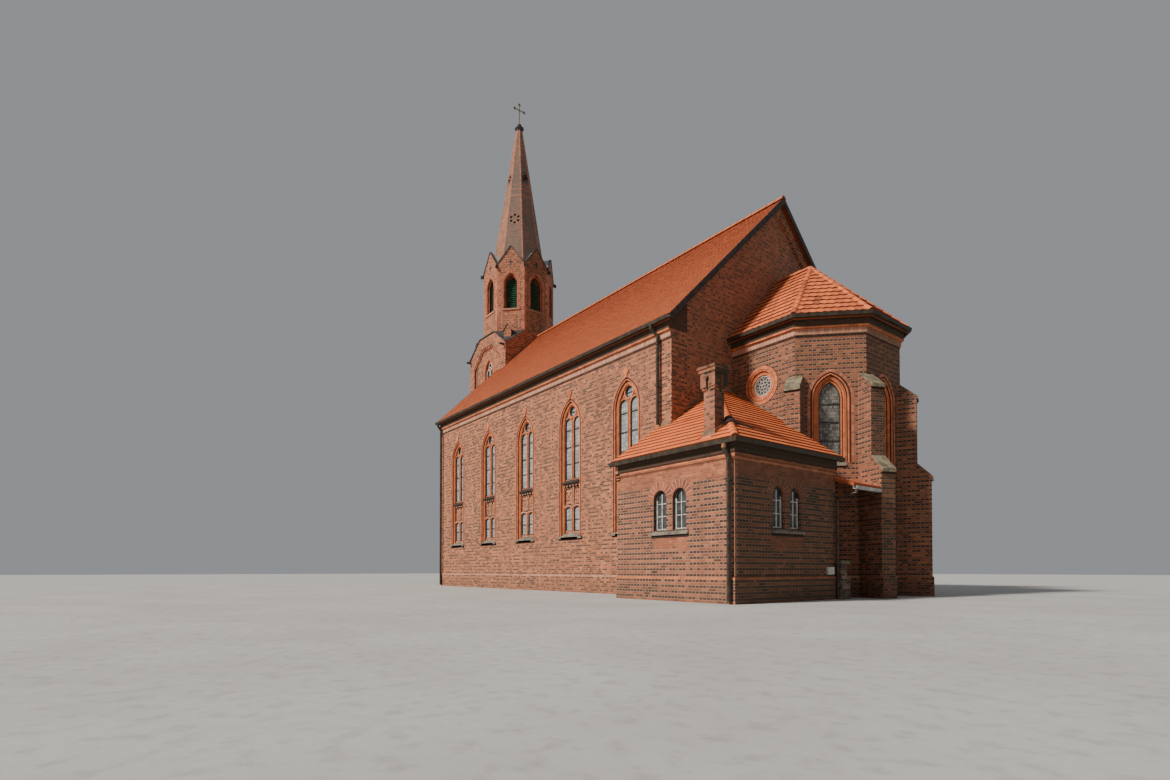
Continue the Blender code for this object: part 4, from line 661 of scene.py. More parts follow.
def finish(name, roughness=0.8, metallic=0.0, specular=0.35):
    """A new material: its graph and the sockets of its shader."""
    made = bpy.data.materials.new(name)
    made.use_nodes = True
    shader = made.node_tree.nodes["Principled BSDF"]
    shader.inputs["Roughness"].default_value = roughness
    shader.inputs["Metallic"].default_value = metallic
    shader.inputs["Specular IOR Level"].default_value = specular
    return made, Graph(made.node_tree), shader.inputs


def dress(g, shader, colour, height, distance):
    """Give a shader its colour and its relief."""
    g.put(shader["Base Color"], colour)
    g.put(shader["Normal"], g.node("Bump", {"Height": height, "Distance": distance}).outputs["Normal"])


def calm_areas(g, areas):
    """1 inside areas of wall with wavering edges, given by their reach along x + y and in height."""
    x, y, z = g.parts(g.place())
    waver = g.times(g.less(g.noise(g.place(), 3.0, 2.0), 0.5), 0.6)
    along = g.plus(g.plus(x, y), waver)
    height = g.plus(z, waver)
    total = 0.0
    for reach, heights in areas:
        share = 1.0
        for value, (low, high) in ((along, reach), (height, heights)):
            share = g.times(share, g.step(value, low - 0.08, low + 0.08))
            share = g.times(share, g.rest(g.step(value, high - 0.08, high + 0.08)))
        total = g.math("MAXIMUM", total, share)
    return total


def wall_brick(name, light=(0.54, 0.175, 0.080), deep=(0.26, 0.074, 0.037), mortar=(0.48, 0.30, 0.19),
               dark=(0.070, 0.036, 0.028), burnt=0.80, headers=0.45, joint=0.006, eaves_shade=None,
               east_shade=0.35, grey=0.0, moss=None, stain=None, calm=()):
    """Face brick in cross bond with burnt headers, patches, streaks and a damp foot.

    Painted shade under the eaves starts at a height; east faces get painted shade with a little damp,
    by an amount; grey goes with old patches, moss is a height and an amount, stain is a height on the
    square faces; calm areas have no burnt headers and duller joints.
    """
    made, g, shader = finish(name, 0.86)
    bond = g.use(BOND, Burnt=burnt, Headers=headers, Joint=joint)
    worn = g.use(WEATHER, Scale=0.9)
    place = g.place()
    height = g.parts(place)[2]
    east, north, rise = g.normal()
    bright = tuple(a * b for a, b in zip(light, (1.25, 1.35, 1.35)))
    colour = g.ramp(bond["Tone"], (0.0, deep), (0.3, halfway(light, deep)), (0.75, light), (1.0, bright))
    colour = g.tint(colour, g.noise(place, 60.0, 2.0), 0.3, KILN_GRAIN)
    burnt_share = g.times(bond["Burnt"], 0.92)
    joint_share = bond["Joint"]
    if calm:
        area = calm_areas(g, calm)
        burnt_share = g.times(burnt_share, g.rest(area))
        joint_share = g.times(joint_share, g.rest(g.times(area, 0.6)))
    colour = g.mix(burnt_share, colour, dark)
    colour = g.tint(colour, worn["Patches"], 0.25, deep)
    colour = g.mix(joint_share, colour, g.mix(g.noise(place, 9.0), mortar, shade(mortar, 0.6)))
    colour = g.tint(colour, worn["Streaks"], 0.28, WALL_STREAK)
    # Painted shade on faces turned east, away from the sun, with a little damp
    colour = g.tint(colour, g.step(east, 0.75, 0.9), east_shade, WALL_EAST_SHADE)
    if grey:
        share = g.plus(g.times(worn["Patches"], grey), g.times(g.step(east, 0.2, 0.6), 0.62))
        colour = g.mix(g.math("MINIMUM", share, 0.85), colour, OLD_GREY)
    if moss:
        start, amount = moss
        share = g.times(g.step(height, start - 0.1, start + 0.1),
                        g.step(g.noise(place, 5.0, 4.0), 0.32, 0.55))
        side = g.math("MAXIMUM", g.step(east, 0.2, 0.7), g.step(rise, 0.1, 0.5))
        share = g.times(share, g.plus(amount, g.times(side, 0.95 - amount)))
        colour = g.mix(share, colour, MOSS)
    if stain:
        away = g.math("DIVIDE", g.math("ABSOLUTE", g.less(height, stain)), 0.55)
        share = g.times(g.rest(g.step(away, 0.2, 1.0)), g.step(g.noise(place, 4.0), 0.36, 0.52))
        slant = g.math("ABSOLUTE", g.times(east, north))
        share = g.times(share, g.rest(g.step(slant, 0.1, 0.3)))
        colour = g.tint(colour, share, 0.85, RUN_STAIN)
    colour = g.tint(colour, worn["Foot"], 0.5, DAMP)
    # Painted shade under the eaves, from a height upwards
    if eaves_shade:
        colour = g.tint(colour, g.step(height, eaves_shade - 0.01, eaves_shade + 0.01), 0.88, EAVES_SHADE_COLOUR)
    relief = g.less(g.times(g.noise(place, 140.0, 2.0), 0.25), bond["Joint"])
    dress(g, shader, colour, relief, 0.006)
    return made


def moulded_brick(name, light, deep, east_shade=0.0):
    """Smooth special bricks, one tone to a brick, with painted shade on their east faces by an amount."""
    made, g, shader = finish(name, 0.74)
    place = g.place()
    colour = g.ramp(g.each_piece(), (0.0, deep), (0.4, halfway(light, deep)), (1.0, light))
    colour = g.tint(colour, g.noise(place, 22.0), 0.35, deep)
    colour = g.tint(colour, g.use(WEATHER, Scale=1.4)["Streaks"], 0.3, TRIM_STREAK)
    # Painted shade on faces turned east
    if east_shade:
        colour = g.tint(colour, g.step(g.normal()[0], 0.6, 0.9), east_shade, TRIM_EAST_SHADE)
    dress(g, shader, colour, g.noise(place, 120.0, 2.0), 0.002)
    return made


def clay_tiles(name, light, deep, stain=0.3):
    """Fired clay tiles, one tone to a tile, painted shade on each tail, sooty patches, a little lichen."""
    made, g, shader = finish(name, 0.72)
    place = g.place()
    bright = tuple(min(1.0, c * 1.15) for c in light)
    colour = g.ramp(g.each_piece(), (0.0, deep), (0.12, halfway(light, deep)), (0.8, light), (1.0, bright))
    colour = g.tint(colour, g.use(WEATHER, Scale=0.7)["Patches"], stain, deep)
    colour = g.tint(colour, g.noise(place, 30.0), 0.2, TILE_GRAIN)
    colour = g.tint(colour, g.step(g.noise(place, 7.0, 5.0), 0.66, 0.74), 0.3, LICHEN)
    # Painted shade on the tails and the other faces that do not look up
    tail = g.rest(g.step(g.normal()[2], -0.1, 0.25))
    colour = g.tint(colour, tail, 0.9, shade(deep, 0.3))
    dress(g, shader, colour, g.noise(place, 90.0, 2.0), 0.0025)
    return made


def plain_finish(name, light, dark, scale, roughness, metallic=0.0, stretch=(1.0, 1.0, 1.0), relief=0.001):
    """Stone, metal, timber or paint: two mottled tones, grime and a fine relief."""
    made, g, shader = finish(name, roughness, metallic, 0.4)
    place = g.stretch(g.place(), *stretch)
    tone = g.step(g.noise(place, scale, 5.0, 0.6), 0.35, 0.65)
    colour = g.mix(tone, dark, light)
    colour = g.tint(colour, g.use(WEATHER, Scale=1.8)["Streaks"], 0.3, shade(dark, 0.4))
    g.put(shader["Roughness"], g.plus(roughness - 0.06, g.times(tone, 0.12)))
    dress(g, shader, colour, g.noise(place, scale * 6, 3.0), relief)
    return made


def leaded_glass(name, light, dark, pane_size):
    """Old glass in lead: each little pane has its own grey, and the leads stand up between them."""
    made, g, shader = finish(name, 0.12, 0.0, 0.6)
    x, y, z = g.parts(g.place())
    cells = []
    edges = []
    for value, size in zip((g.plus(x, y), z), pane_size):
        scaled = g.math("DIVIDE", value, size)
        cells.append(g.math("FLOOR", scaled))
        edges.append(g.times(g.edge(scaled), size))
    number = g.node("CombineXYZ", dict(enumerate(cells))).outputs[0]
    lead = g.rest(g.step(g.math("MINIMUM", *edges), 0.003, 0.006))
    colour = g.mix(g.lot(number), dark, light)
    colour = g.tint(colour, g.noise(g.place(), 6.0), 0.5, dark)
    ripple = g.plus(g.times(g.noise(g.place(), 14.0, 2.0), 0.6), lead)
    dress(g, shader, g.mix(lead, colour, LEAD_LINE), ripple, 0.004)
    return made


def boards(name, light, dark, width):
    """Painted or stained boards with open joints and a long grain."""
    made, g, shader = finish(name, 0.55)
    x, y, _ = g.parts(g.place())
    gap = g.rest(g.step(g.edge(g.math("DIVIDE", g.plus(x, y), width)), 0.02, 0.05))
    grain = g.noise(g.stretch(g.place(), 14.0, 14.0, 1.2), 4.0, 5.0, 0.6)
    colour = g.mix(g.step(grain, 0.35, 0.65), dark, light)
    dress(g, shader, g.mix(gap, colour, shade(dark, 0.2)), g.less(grain, gap), 0.004)
    return made


def flag_stones(name):
    """Worn stone flags in running rows with narrow joints."""
    made, g, shader = finish(name, 0.7)
    warm, pale, mortar, worn = FLAG_GREYS
    cells = g.node("TexBrick", {"Vector": g.place(), "Color1": warm, "Color2": pale, "Mortar": mortar,
                                "Scale": 1.0, "Mortar Size": 0.008, "Brick Width": 0.8,
                                "Row Height": 0.5}).outputs
    colour = g.tint(cells["Color"], g.noise(g.place(), 5.0), 0.5, worn)
    dress(g, shader, colour, g.rest(cells["Fac"]), 0.006)
    return made


def look_from_photo():
    """The camera, where the photograph was taken."""
    camera = bpy.data.cameras.new("photo_view")
    camera.sensor_width = SENSOR
    camera.lens = FOCAL_PIXELS / PHOTO_WIDTH * SENSOR
    camera.shift_y = (HORIZON_ROW - PHOTO_HEIGHT / 2) / PHOTO_WIDTH
    camera.clip_end = FAR_CLIP
    holder = bpy.data.objects.new("photo_view", camera)
    bpy.context.scene.collection.objects.link(holder)
    level = math.cos(CAMERA_PITCH)
    look = Vector((-math.sin(CAMERA_TURN) * level, math.cos(CAMERA_TURN) * level, math.sin(CAMERA_PITCH)))
    holder.location = CAMERA_PLACE
    holder.rotation_euler = look.to_track_quat("-Z", "Y").to_euler()
    bpy.context.scene.camera = holder


def studio():
    """Pale floor, an even sky and one broad soft light from the front."""
    world = bpy.data.worlds.new("even_sky")
    world.use_nodes = True
    sky = world.node_tree.nodes["Background"].inputs
    sky["Color"].default_value = SKY
    sky["Strength"].default_value = SKY_STRENGTH
    bpy.context.scene.world = world
    sun = bpy.data.lights.new("soft_key", "SUN")
    sun.energy = SUN_STRENGTH
    sun.angle = SUN_WIDTH
    sun.color = SUN_COLOUR
    lamp = bpy.data.objects.new("soft_key", sun)
    lamp.rotation_euler = Vector(SUN_COURSE).to_track_quat("-Z", "Y").to_euler()
    bpy.context.scene.collection.objects.link(lamp)
    mesh = bpy.data.meshes.new("pale_floor")
    corners = [(x * FLOOR_HALF, y * FLOOR_HALF, 0.0) for x, y in ((-1, -1), (1, -1), (1, 1), (-1, 1))]
    mesh.from_pydata(corners, [], [(0, 1, 2, 3)])
    mesh.materials.append(plain_finish("pale_ground", (0.50, 0.49, 0.47), (0.45, 0.44, 0.42), 0.4, 0.9))
    floor = bpy.data.objects.new("pale_floor", mesh)
    floor.location.z = -FLOOR_DROP
    bpy.context.scene.collection.objects.link(floor)


look_from_photo()
studio()

# Plain brickwork above and below the sacristy windows, in front and at the east
SACRISTY_CALM = [((0.6, 9.9), (3.26, 3.80))]
for start in (2.25, 6.76):
    SACRISTY_CALM += [((start, start + 1.48), (1.42, 1.80)), ((start - 0.05, start + 1.53), (2.86, 3.30))]

NAVE_BRICK = wall_brick("nave_brick", eaves_shade=CORNICE_SHADE_FROM)
# The gable's brick is darker than the nave's: painted shade, for the east gable out of the sun
GABLE_BRICK_IN_SHADE = wall_brick("gable_brick_darkened_for_shade", light=(0.35, 0.105, 0.052), deep=(0.20, 0.060, 0.032), burnt=0.9,
                         east_shade=0.12)
# The chancel's brick is darker than the nave's: partly its own tone, partly painted shade of trees
CHANCEL_BRICK = wall_brick("chancel_brick", light=(0.33, 0.105, 0.050), deep=(0.17, 0.050, 0.027),
                           mortar=(0.35, 0.225, 0.15), dark=(0.038, 0.022, 0.018), headers=0.68,
                           joint=0.008, eaves_shade=CORNICE_SHADE_FROM, east_shade=0.45)
SACRISTY_BRICK = wall_brick("sacristy_brick", light=(0.41, 0.128, 0.060), deep=(0.22, 0.064, 0.036),
                            mortar=(0.42, 0.275, 0.185), dark=(0.034, 0.020, 0.018),
                            headers=0.82, joint=0.008, eaves_shade=SAC_CORNICE_SHADE_FROM,
                            east_shade=0.55, calm=SACRISTY_CALM)
TOWER_BRICK = wall_brick("tower_brick", light=(0.54, 0.175, 0.082), deep=(0.27, 0.080, 0.042),
                         mortar=(0.44, 0.25, 0.155), burnt=0.86, headers=0.42)
SPIRE_BRICK = wall_brick("spire_brick", light=(0.42, 0.15, 0.085), deep=(0.20, 0.07, 0.045), burnt=0.9,
                         grey=0.4, east_shade=0.0, stain=25.65)
CHIMNEY_BRICK = wall_brick("chimney_brick", light=(0.42, 0.130, 0.065), mortar=(0.38, 0.24, 0.16), burnt=0.86,
                           east_shade=0.6, moss=(5.75, 0.2))
PIER_BRICK = wall_brick("pier_brick", light=(0.26, 0.20, 0.15), deep=(0.14, 0.105, 0.08),
                        mortar=(0.32, 0.28, 0.22), burnt=0.5, headers=0.3, east_shade=0.3)
ORANGE_BRICK = moulded_brick("orange_moulded_brick", (0.78, 0.25, 0.095), (0.46, 0.13, 0.055))
# The last number is painted shade on east faces: the strings, pale bricks and sacristy arches get it
STRING_BRICK = moulded_brick("orange_string_brick", (0.78, 0.25, 0.095), (0.46, 0.13, 0.055), 0.62)
RING_BRICK = moulded_brick("face_brick_ring", (0.60, 0.22, 0.12), (0.30, 0.09, 0.05))
PINK_BRICK = moulded_brick("pale_moulded_brick", (0.66, 0.34, 0.22), (0.46, 0.21, 0.13), 0.62)
SACRISTY_ARCH = moulded_brick("sacristy_arch_brick", (0.46, 0.145, 0.072), (0.19, 0.058, 0.034), 0.62)
SPIRE_EDGE = moulded_brick("spire_edge_brick", (0.52, 0.23, 0.14), (0.30, 0.12, 0.08))
NAVE_TILES = clay_tiles("nave_tiles", (0.62, 0.150, 0.050), (0.50, 0.118, 0.042), 0.2)
CHANCEL_TILES = clay_tiles("chancel_tiles", (0.80, 0.19, 0.060), (0.36, 0.090, 0.040), 0.3)
SACRISTY_TILES = clay_tiles("sacristy_tiles", (0.86, 0.205, 0.062), (0.66, 0.150, 0.048), 0.2)
CEMENT = plain_finish("cement", (0.27, 0.23, 0.18), (0.11, 0.095, 0.07), 3.0, 0.9, relief=0.004)
FILLET = plain_finish("brown_mortar", (0.30, 0.20, 0.13), (0.12, 0.08, 0.05), 4.0, 0.9, relief=0.004)
STONE_SLAB = plain_finish("lichened_stone", (0.29, 0.24, 0.155), (0.12, 0.10, 0.06), 5.0, 0.9, relief=0.004)
BROWN_METAL = plain_finish("brown_gutter_metal", (0.062, 0.044, 0.028), (0.028, 0.020, 0.013), 7.0, 0.6, 0.08)
RUST = plain_finish("rusty_sheet", (0.40, 0.19, 0.08), (0.20, 0.09, 0.04), 20.0, 0.75)
GREY_METAL = plain_finish("weathered_zinc", (0.56, 0.55, 0.52), (0.36, 0.35, 0.33), 5.0, 0.6, 0.15)
PORCH_PIPE = plain_finish("brown_porch_pipe", (0.10, 0.075, 0.055), (0.04, 0.03, 0.022), 9.0, 0.5, 0.2)
DARK_LEAD = plain_finish("dark_lead", (0.085, 0.08, 0.08), (0.03, 0.028, 0.028), 6.0, 0.6, 0.4)
VERGE_METAL = plain_finish("verge_metal", (0.075, 0.055, 0.045), (0.03, 0.022, 0.018), 6.0, 0.6, 0.3)
GILT = plain_finish("worn_gilt", (0.40, 0.33, 0.24), (0.16, 0.13, 0.09), 20.0, 0.42, 0.8)
WHITE_PAINT = plain_finish("old_white_paint", (0.64, 0.63, 0.59), (0.40, 0.38, 0.34), 14.0, 0.55)
GREEN_PAINT = plain_finish("green_louvre_paint", (0.035, 0.20, 0.09), (0.012, 0.08, 0.04), 8.0, 0.5,
                           stretch=(1.0, 1.0, 6.0))
NAVE_GLASS = leaded_glass("nave_leaded_glass", (0.50, 0.54, 0.53), (0.24, 0.27, 0.27), (0.11, 0.16))
CHANCEL_GLASS = leaded_glass("chancel_leaded_glass", (0.30, 0.29, 0.25), (0.08, 0.08, 0.07), (0.085, 0.10))
SACRISTY_GLASS = leaded_glass("sacristy_panes", (0.11, 0.12, 0.12), (0.025, 0.03, 0.03), (0.105, 0.14))
TOWER_GLASS = leaded_glass("tower_leaded_glass", (0.22, 0.24, 0.24), (0.07, 0.08, 0.08), (0.08, 0.12))
OAK = boards("oak_boards", (0.20, 0.11, 0.06), (0.07, 0.035, 0.02), 0.14)
FLAGS = flag_stones("stone_flags")
# Dark strips put where shade falls: painted shadow under courses, sills, slabs and corbels, and in the
# hollows of mouldings
PAINTED_SHADOW = plain_finish("painted_shadow_strips", (0.060, 0.030, 0.020), (0.022, 0.013, 0.010), 9.0, 0.9)

FINISHES = {
    NAVE_BRICK: ("nave_front_wall", "nave_back_wall"),
    GABLE_BRICK_IN_SHADE: ("nave_east_gable", "nave_west_wall_south", "nave_west_wall_north"),
    CHANCEL_BRICK: ("chancel_south_wall", "chancel_southeast_wall", "chancel_east_wall",
                    "chancel_northeast_wall", "chancel_north_wall", "buttress_1", "buttress_2",
                    "buttress_3", "buttress_4"),
    SACRISTY_BRICK: ("sacristy_front_wall", "sacristy_east_wall", "sacristy_west_wall",
                     "sacristy_north_wall"),
    PIER_BRICK: ("porch_pier",),
    TOWER_BRICK: ("tower_base", "tower_belfry"),
    SPIRE_BRICK: ("tower_spire",),
    CHIMNEY_BRICK: ("sacristy_chimney",),
    NAVE_TILES: ("nave_roof",),
    CHANCEL_TILES: ("chancel_roof",),
    SACRISTY_TILES: ("sacristy_roof", "porch_roof"),
    BROWN_METAL: ("nave_front_eaves", "nave_back_eaves", "chancel_eaves", "sacristy_eaves",
                  "downpipe_front_east", "downpipe_front_west", "downpipe_back_east",
                  "downpipe_back_west", "downpipe_sacristy"),
    GREY_METAL: ("porch_gutter",),
    PORCH_PIPE: ("porch_downpipe",),
    DARK_LEAD: ("spire_cap",),
    GILT: ("spire_cross",),
    OAK: ("sacristy_door", "west_door"),
    FLAGS: ("nave_floor", "chancel_floor", "sacristy_floor", "tower_floor"),
}
for made, names in FINISHES.items():
    for name in names:
        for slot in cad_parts[name].material_slots:
            slot.material = made

FRONT = Face((0.0, -HALF_WIDTH), (1.0, -HALF_WIDTH))
BACK = Face((0.0, HALF_WIDTH), (-1.0, HALF_WIDTH))
GABLE = Face((GABLE_FACE, 0.0), (GABLE_FACE, 1.0))
CHANCEL_FACES = [Face(a, b) for a, b in zip(CHANCEL_PATH, CHANCEL_PATH[1:])]
SAC_FRONT_FACE = Face((0.0, SAC_FRONT), (1.0, SAC_FRONT))
SAC_EAST_FACE = Face((SAC_EAST, 0.0), (SAC_EAST, 1.0))
TOWER_FACES = {
    "south": Face((TOWER_X - TOWER_HALF, -TOWER_HALF), (TOWER_X + TOWER_HALF, -TOWER_HALF)),
    "north": Face((TOWER_X + TOWER_HALF, TOWER_HALF), (TOWER_X - TOWER_HALF, TOWER_HALF)),
    "west": Face((TOWER_X - TOWER_HALF, TOWER_HALF), (TOWER_X - TOWER_HALF, -TOWER_HALF)),
}


def octagon(apothem):
    """Corners in plan of an octagon round the tower's middle."""
    radius = apothem / math.cos(math.pi / 8)
    turns = [math.pi / 8 + k * math.pi / 4 for k in range(8)]
    return [(TOWER_X + radius * math.cos(turn), radius * math.sin(turn)) for turn in turns]


def set_back(face, depth):
    """The same face, deeper in the wall."""
    return Face(face.start, face.start + face.along, -depth)


def low_arch(centre, half, sill, spring, rise, steps=8):
    """From the foot of the left jamb over a flat arch to the foot of the right jamb."""
    crown = [(centre - half * math.cos(math.pi * i / steps), spring + rise * math.sin(math.pi * i / steps))
             for i in range(steps + 1)]
    return [(centre - half, sill)] + crown + [(centre + half, sill)]


WINDOW_PARTS = {
    "arches": ("window_arches", SACRISTY_ARCH, "brick"),
    "ring": ("brick_rings", RING_BRICK, "brick"),
    # Dark strips of painted shade in the hollows of mouldings and under sills
    "shade_strip": ("painted_shade_grooves", PAINTED_SHADOW, "brick"),
    "roll": ("rolls", ORANGE_BRICK, "brick"),
    "tracery": ("tracery_mouldings", ORANGE_BRICK, "brick"),
    "pale": ("pale_bricks", PINK_BRICK, "brick"),
    "bars": ("saddle_bars", DARK_LEAD, "lead"),
    "cement": ("sills", CEMENT, "stone_floor"),
    "lead": ("lead_sills", VERGE_METAL, "lead"),
    "white": ("white_tracery", WHITE_PAINT, "stone_floor"),
}


class Windows:
    """The pieces of one group of windows; each method adds to the named piece on the face in hand."""

    def __init__(self):
        self.pieces = {key: Solid() for key in (*WINDOW_PARTS, "glass")}
        self.face = None

    def block(self, key, a, h, o):
        self.pieces[key].block(self.face, a, h, o)

    def rail(self, key, profile, low, high):
        self.pieces[key].rail(self.face, profile, low, high)

    def bead(self, key, path, low, high, back, front, closed=False):
        """An unbroken flat strip."""
        border(self.pieces[key], self.face, path, flat_section(low, high, back, front), closed)

    def band(self, key, path, low, high, back, front, module=COURSE, joint=JOINT):
        """Flat bricks side by side."""
        moulding(self.pieces[key], self.face, path, flat_section(low, high, back, front), module, joint)

    def roll(self, key, path, radius, across, out, module=ROLL_LENGTH):
        """Bricks with a round nose."""
        moulding(self.pieces[key], self.face, path, round_section(radius, across, out), module, ROLL_JOINT)

    def opening(self, shape):
        """The window's two orders: a flush ring, a strip of painted shade, a roll and a band in each order.
        """
        centre, half, foot, spring, offset = shape
        edge = arch_path(centre, half, foot, spring, offset)
        self.band("ring", edge, 0.024, 0.12, -0.03, 0.004)
        self.bead("shade_strip", edge, -0.014, 0.024, -0.03, 0.006)
        self.roll("roll", edge, 0.030, -0.042, -0.026)
        inner = arch_path(centre, half - ORDER, foot + ORDER / 2, spring, offset)
        back = -ORDER_DEPTH - 0.02
        low, high = ORDER - 0.10, ORDER - 0.058
        self.band("roll", inner, -PROUD, low, back, -ORDER_DEPTH + 0.008, ROLL_LENGTH, ROLL_JOINT)
        self.bead("shade_strip", inner, low, high, back, -ORDER_DEPTH + 0.006)
        self.roll("roll", inner, 0.030, -0.032, -ORDER_DEPTH - 0.026)

    def pane(self, outline, depth, heights=(), bar=0.018):
        """Leaded glass in an opening, with saddle bars across it at the given heights."""
        self.pieces["glass"].prism(self.face, outline, -depth - 0.004, -depth + 0.004)
        for height in heights:
            reach = span(outline, height)
            if reach:
                self.block("bars", reach, (height - bar, height + bar), (-depth, -depth + 0.03))

    def make(self, name, glass=None):
        for key, (ending, made, slot) in WINDOW_PARTS.items():
            if self.pieces[key].corners:
                self.pieces[key].make(name + "_" + ending, made, slot)
        if glass:
            self.make_panes(name + "_glass", name + "_panes", glass)

    def make_panes(self, node, name, glass):
        """The panes take the place of a plain sheet of glass."""
        self.pieces["glass"].make(name, glass, "leaded_glass", (node,))
        self.pieces["glass"] = Solid()


def nave_light(w, centre):
    """A tall light over a low one, with a blind panel and its little hood between them."""
    upper = arch_path(centre, *UPPER_LIGHT)
    lower = low_arch(centre, *LOWER_LIGHT)
    blind = arch_path(centre, *BLIND_PANEL, 6)
    for path in (upper, lower):
        w.band("tracery", path, *TRACERY_BEAD, ROLL_LENGTH, ROLL_JOINT)
        w.bead("bars", path, *FRAME_BAR, True)
    w.bead("pale", blind, -PROUD, 0.03, TRACERY_BACK, -TRACERY + 0.014)
    hood = low_arch(centre, LIGHT_HALF + 0.045, 3.32, 3.335, 0.085)[1:-1]
    w.bead("pale", hood, 0.0, 0.045, TRACERY_BACK, -TRACERY + 0.045)
    # A dark strip of painted shade over the hood
    w.bead("shade_strip", hood, 0.045, 0.085, TRACERY_BACK, -TRACERY + 0.012)
    w.pane(upper, GLASS_DEPTH, UPPER_BARS)
    w.pane(lower, GLASS_DEPTH, LOWER_BARS)


def nave_sills(w, c):
    """The lead weathering over the row of dentils, and the cement sill under the whole window."""
    back = TRACERY_BACK
    lead = [(back, 4.32), (-0.02, 4.32), (-0.02, 4.36), (back, 4.47)]
    w.rail("lead", lead, c - SILL_HALF, c + SILL_HALF)
    # Dark strips under the lead, under the dentils and under the sill: painted shadow
    w.block("shade_strip", (c - 0.56, c + 0.56), (4.255, 4.318), (back, -0.055))
    for k in range(DENTILS):
        a = c + (k - (DENTILS - 1) / 2) * DENTIL_PITCH
        w.block("pale", (a - 0.05, a + 0.05), (4.205, 4.30), (back, -0.075))
        w.block("shade_strip", (a - 0.05, a + 0.05), (4.165, 4.203), (back, -0.10))
    nose = [(-0.02, 2.10), (0.065, 2.10), (0.065, 2.165)]
    deep = -TRACERY - 0.02
    top = WINDOW[1] + PROUD
    w.rail("cement", nose + [(deep, 2.35), (deep, 2.10)], c - SILL_HALF, c + SILL_HALF)
    w.rail("cement", nose + [(0.005, top), (-0.02, top)], c - OUTER_SILL_HALF, c + OUTER_SILL_HALF)
    w.block("shade_strip", (c - 0.79, c + 0.79), (2.045, 2.098), (-0.02, 0.012))


def nave_windows():
    """Five windows in each long wall: a roundel over two pairs of lights, and a finial on the crown."""
    w = Windows()
    for face, side, node in ((FRONT, 1, "nave_front_glass"), (BACK, -1, "nave_back_glass")):
        w.face = face
        for middle in WINDOW_CENTRES:
            c = side * middle
            w.opening((c, *WINDOW))
            roundel = round_path(c, *ROUNDEL)[:-1]
            w.bead("tracery", roundel, *TRACERY_BEAD, True)
            w.bead("bars", roundel, *FRAME_BAR, True)
            w.pane(roundel, GLASS_DEPTH + 0.02, ROUNDEL[:1], 0.012)
            for hand in (-1, 1):
                nave_light(w, c + hand * LIGHT_SIDE)
            nave_sills(w, c)
            finial = [(c + a, h) for a, h in HALF_FINIAL] + [(c, FINIAL_TIP)]
            finial += [(c - a, h) for a, h in reversed(HALF_FINIAL)]
            w.pieces["roll"].prism(face, finial, -0.02, 0.038)
        w.make_panes(node, node + "_panes", NAVE_GLASS)
    w.make("nave")


def chancel_windows():
    """Three lancets in the slanting and east walls, and a round light in the south and north walls."""
    w = Windows()
    for face in CHANCEL_FACES[1:4]:
        w.face = face
        c = face.length / 2
        w.opening((c, *CHANCEL_WINDOW))
        light = arch_path(c, *CHANCEL_LIGHT)
        w.roll("roll", light, 0.026, 0.03, -TRACERY)
        w.bead("bars", light, -0.03, 0.004, -GLASS_DEPTH - 0.01, -GLASS_DEPTH + 0.03, True)
        w.pane(light, GLASS_DEPTH, CHANCEL_BARS, 0.016)
        back = -TRACERY - 0.02
        slope = [(-0.02, 4.20), (0.04, 4.20), (0.04, 4.245), (back, 4.46), (back, 4.20)]
        w.rail("cement", slope, c - 0.475, c + 0.475)
        # A dark strip of painted shadow under the sill
        w.block("shade_strip", (c - 0.47, c + 0.47), (4.15, 4.198), (-0.02, 0.008))
    place, high, outer_radius, inner_radius = OCULUS
    for k in (0, 4):
        face = w.face = CHANCEL_FACES[k]
        c = place - GABLE_FACE if k == 0 else face.length - (place - GABLE_FACE)
        outer = round_path(c, high, outer_radius, 32)
        inner = round_path(c, high, inner_radius, 32)
        w.band("roll", outer, 0.006, 0.12, -0.03, 0.005)
        # A dark strip of painted shade round the outer ring
        w.bead("shade_strip", outer[:-1], 0.12, 0.14, -0.03, 0.004, True)
        w.roll("roll", outer, 0.036, -0.036, -0.030, COURSE)
        w.band("roll", inner, -PROUD, 0.11, -0.09, -0.062, COURSE, 0.004)
        w.bead("white", inner[:-1], -0.05, -0.004, -0.17, -0.10, True)
        for count, distance, radius, lag in OCULUS_HOLES:
            for i in range(count):
                turn = math.tau * (i + lag) / count
                hole = round_path(c + distance * math.cos(turn), high + distance * math.sin(turn), radius, 10)
                w.bead("white", hole[:-1], 0.0, 0.012, -0.16, -0.13, True)
        w.pane(inner[:-1], GLASS_DEPTH)
    w.make("chancel", CHANCEL_GLASS)


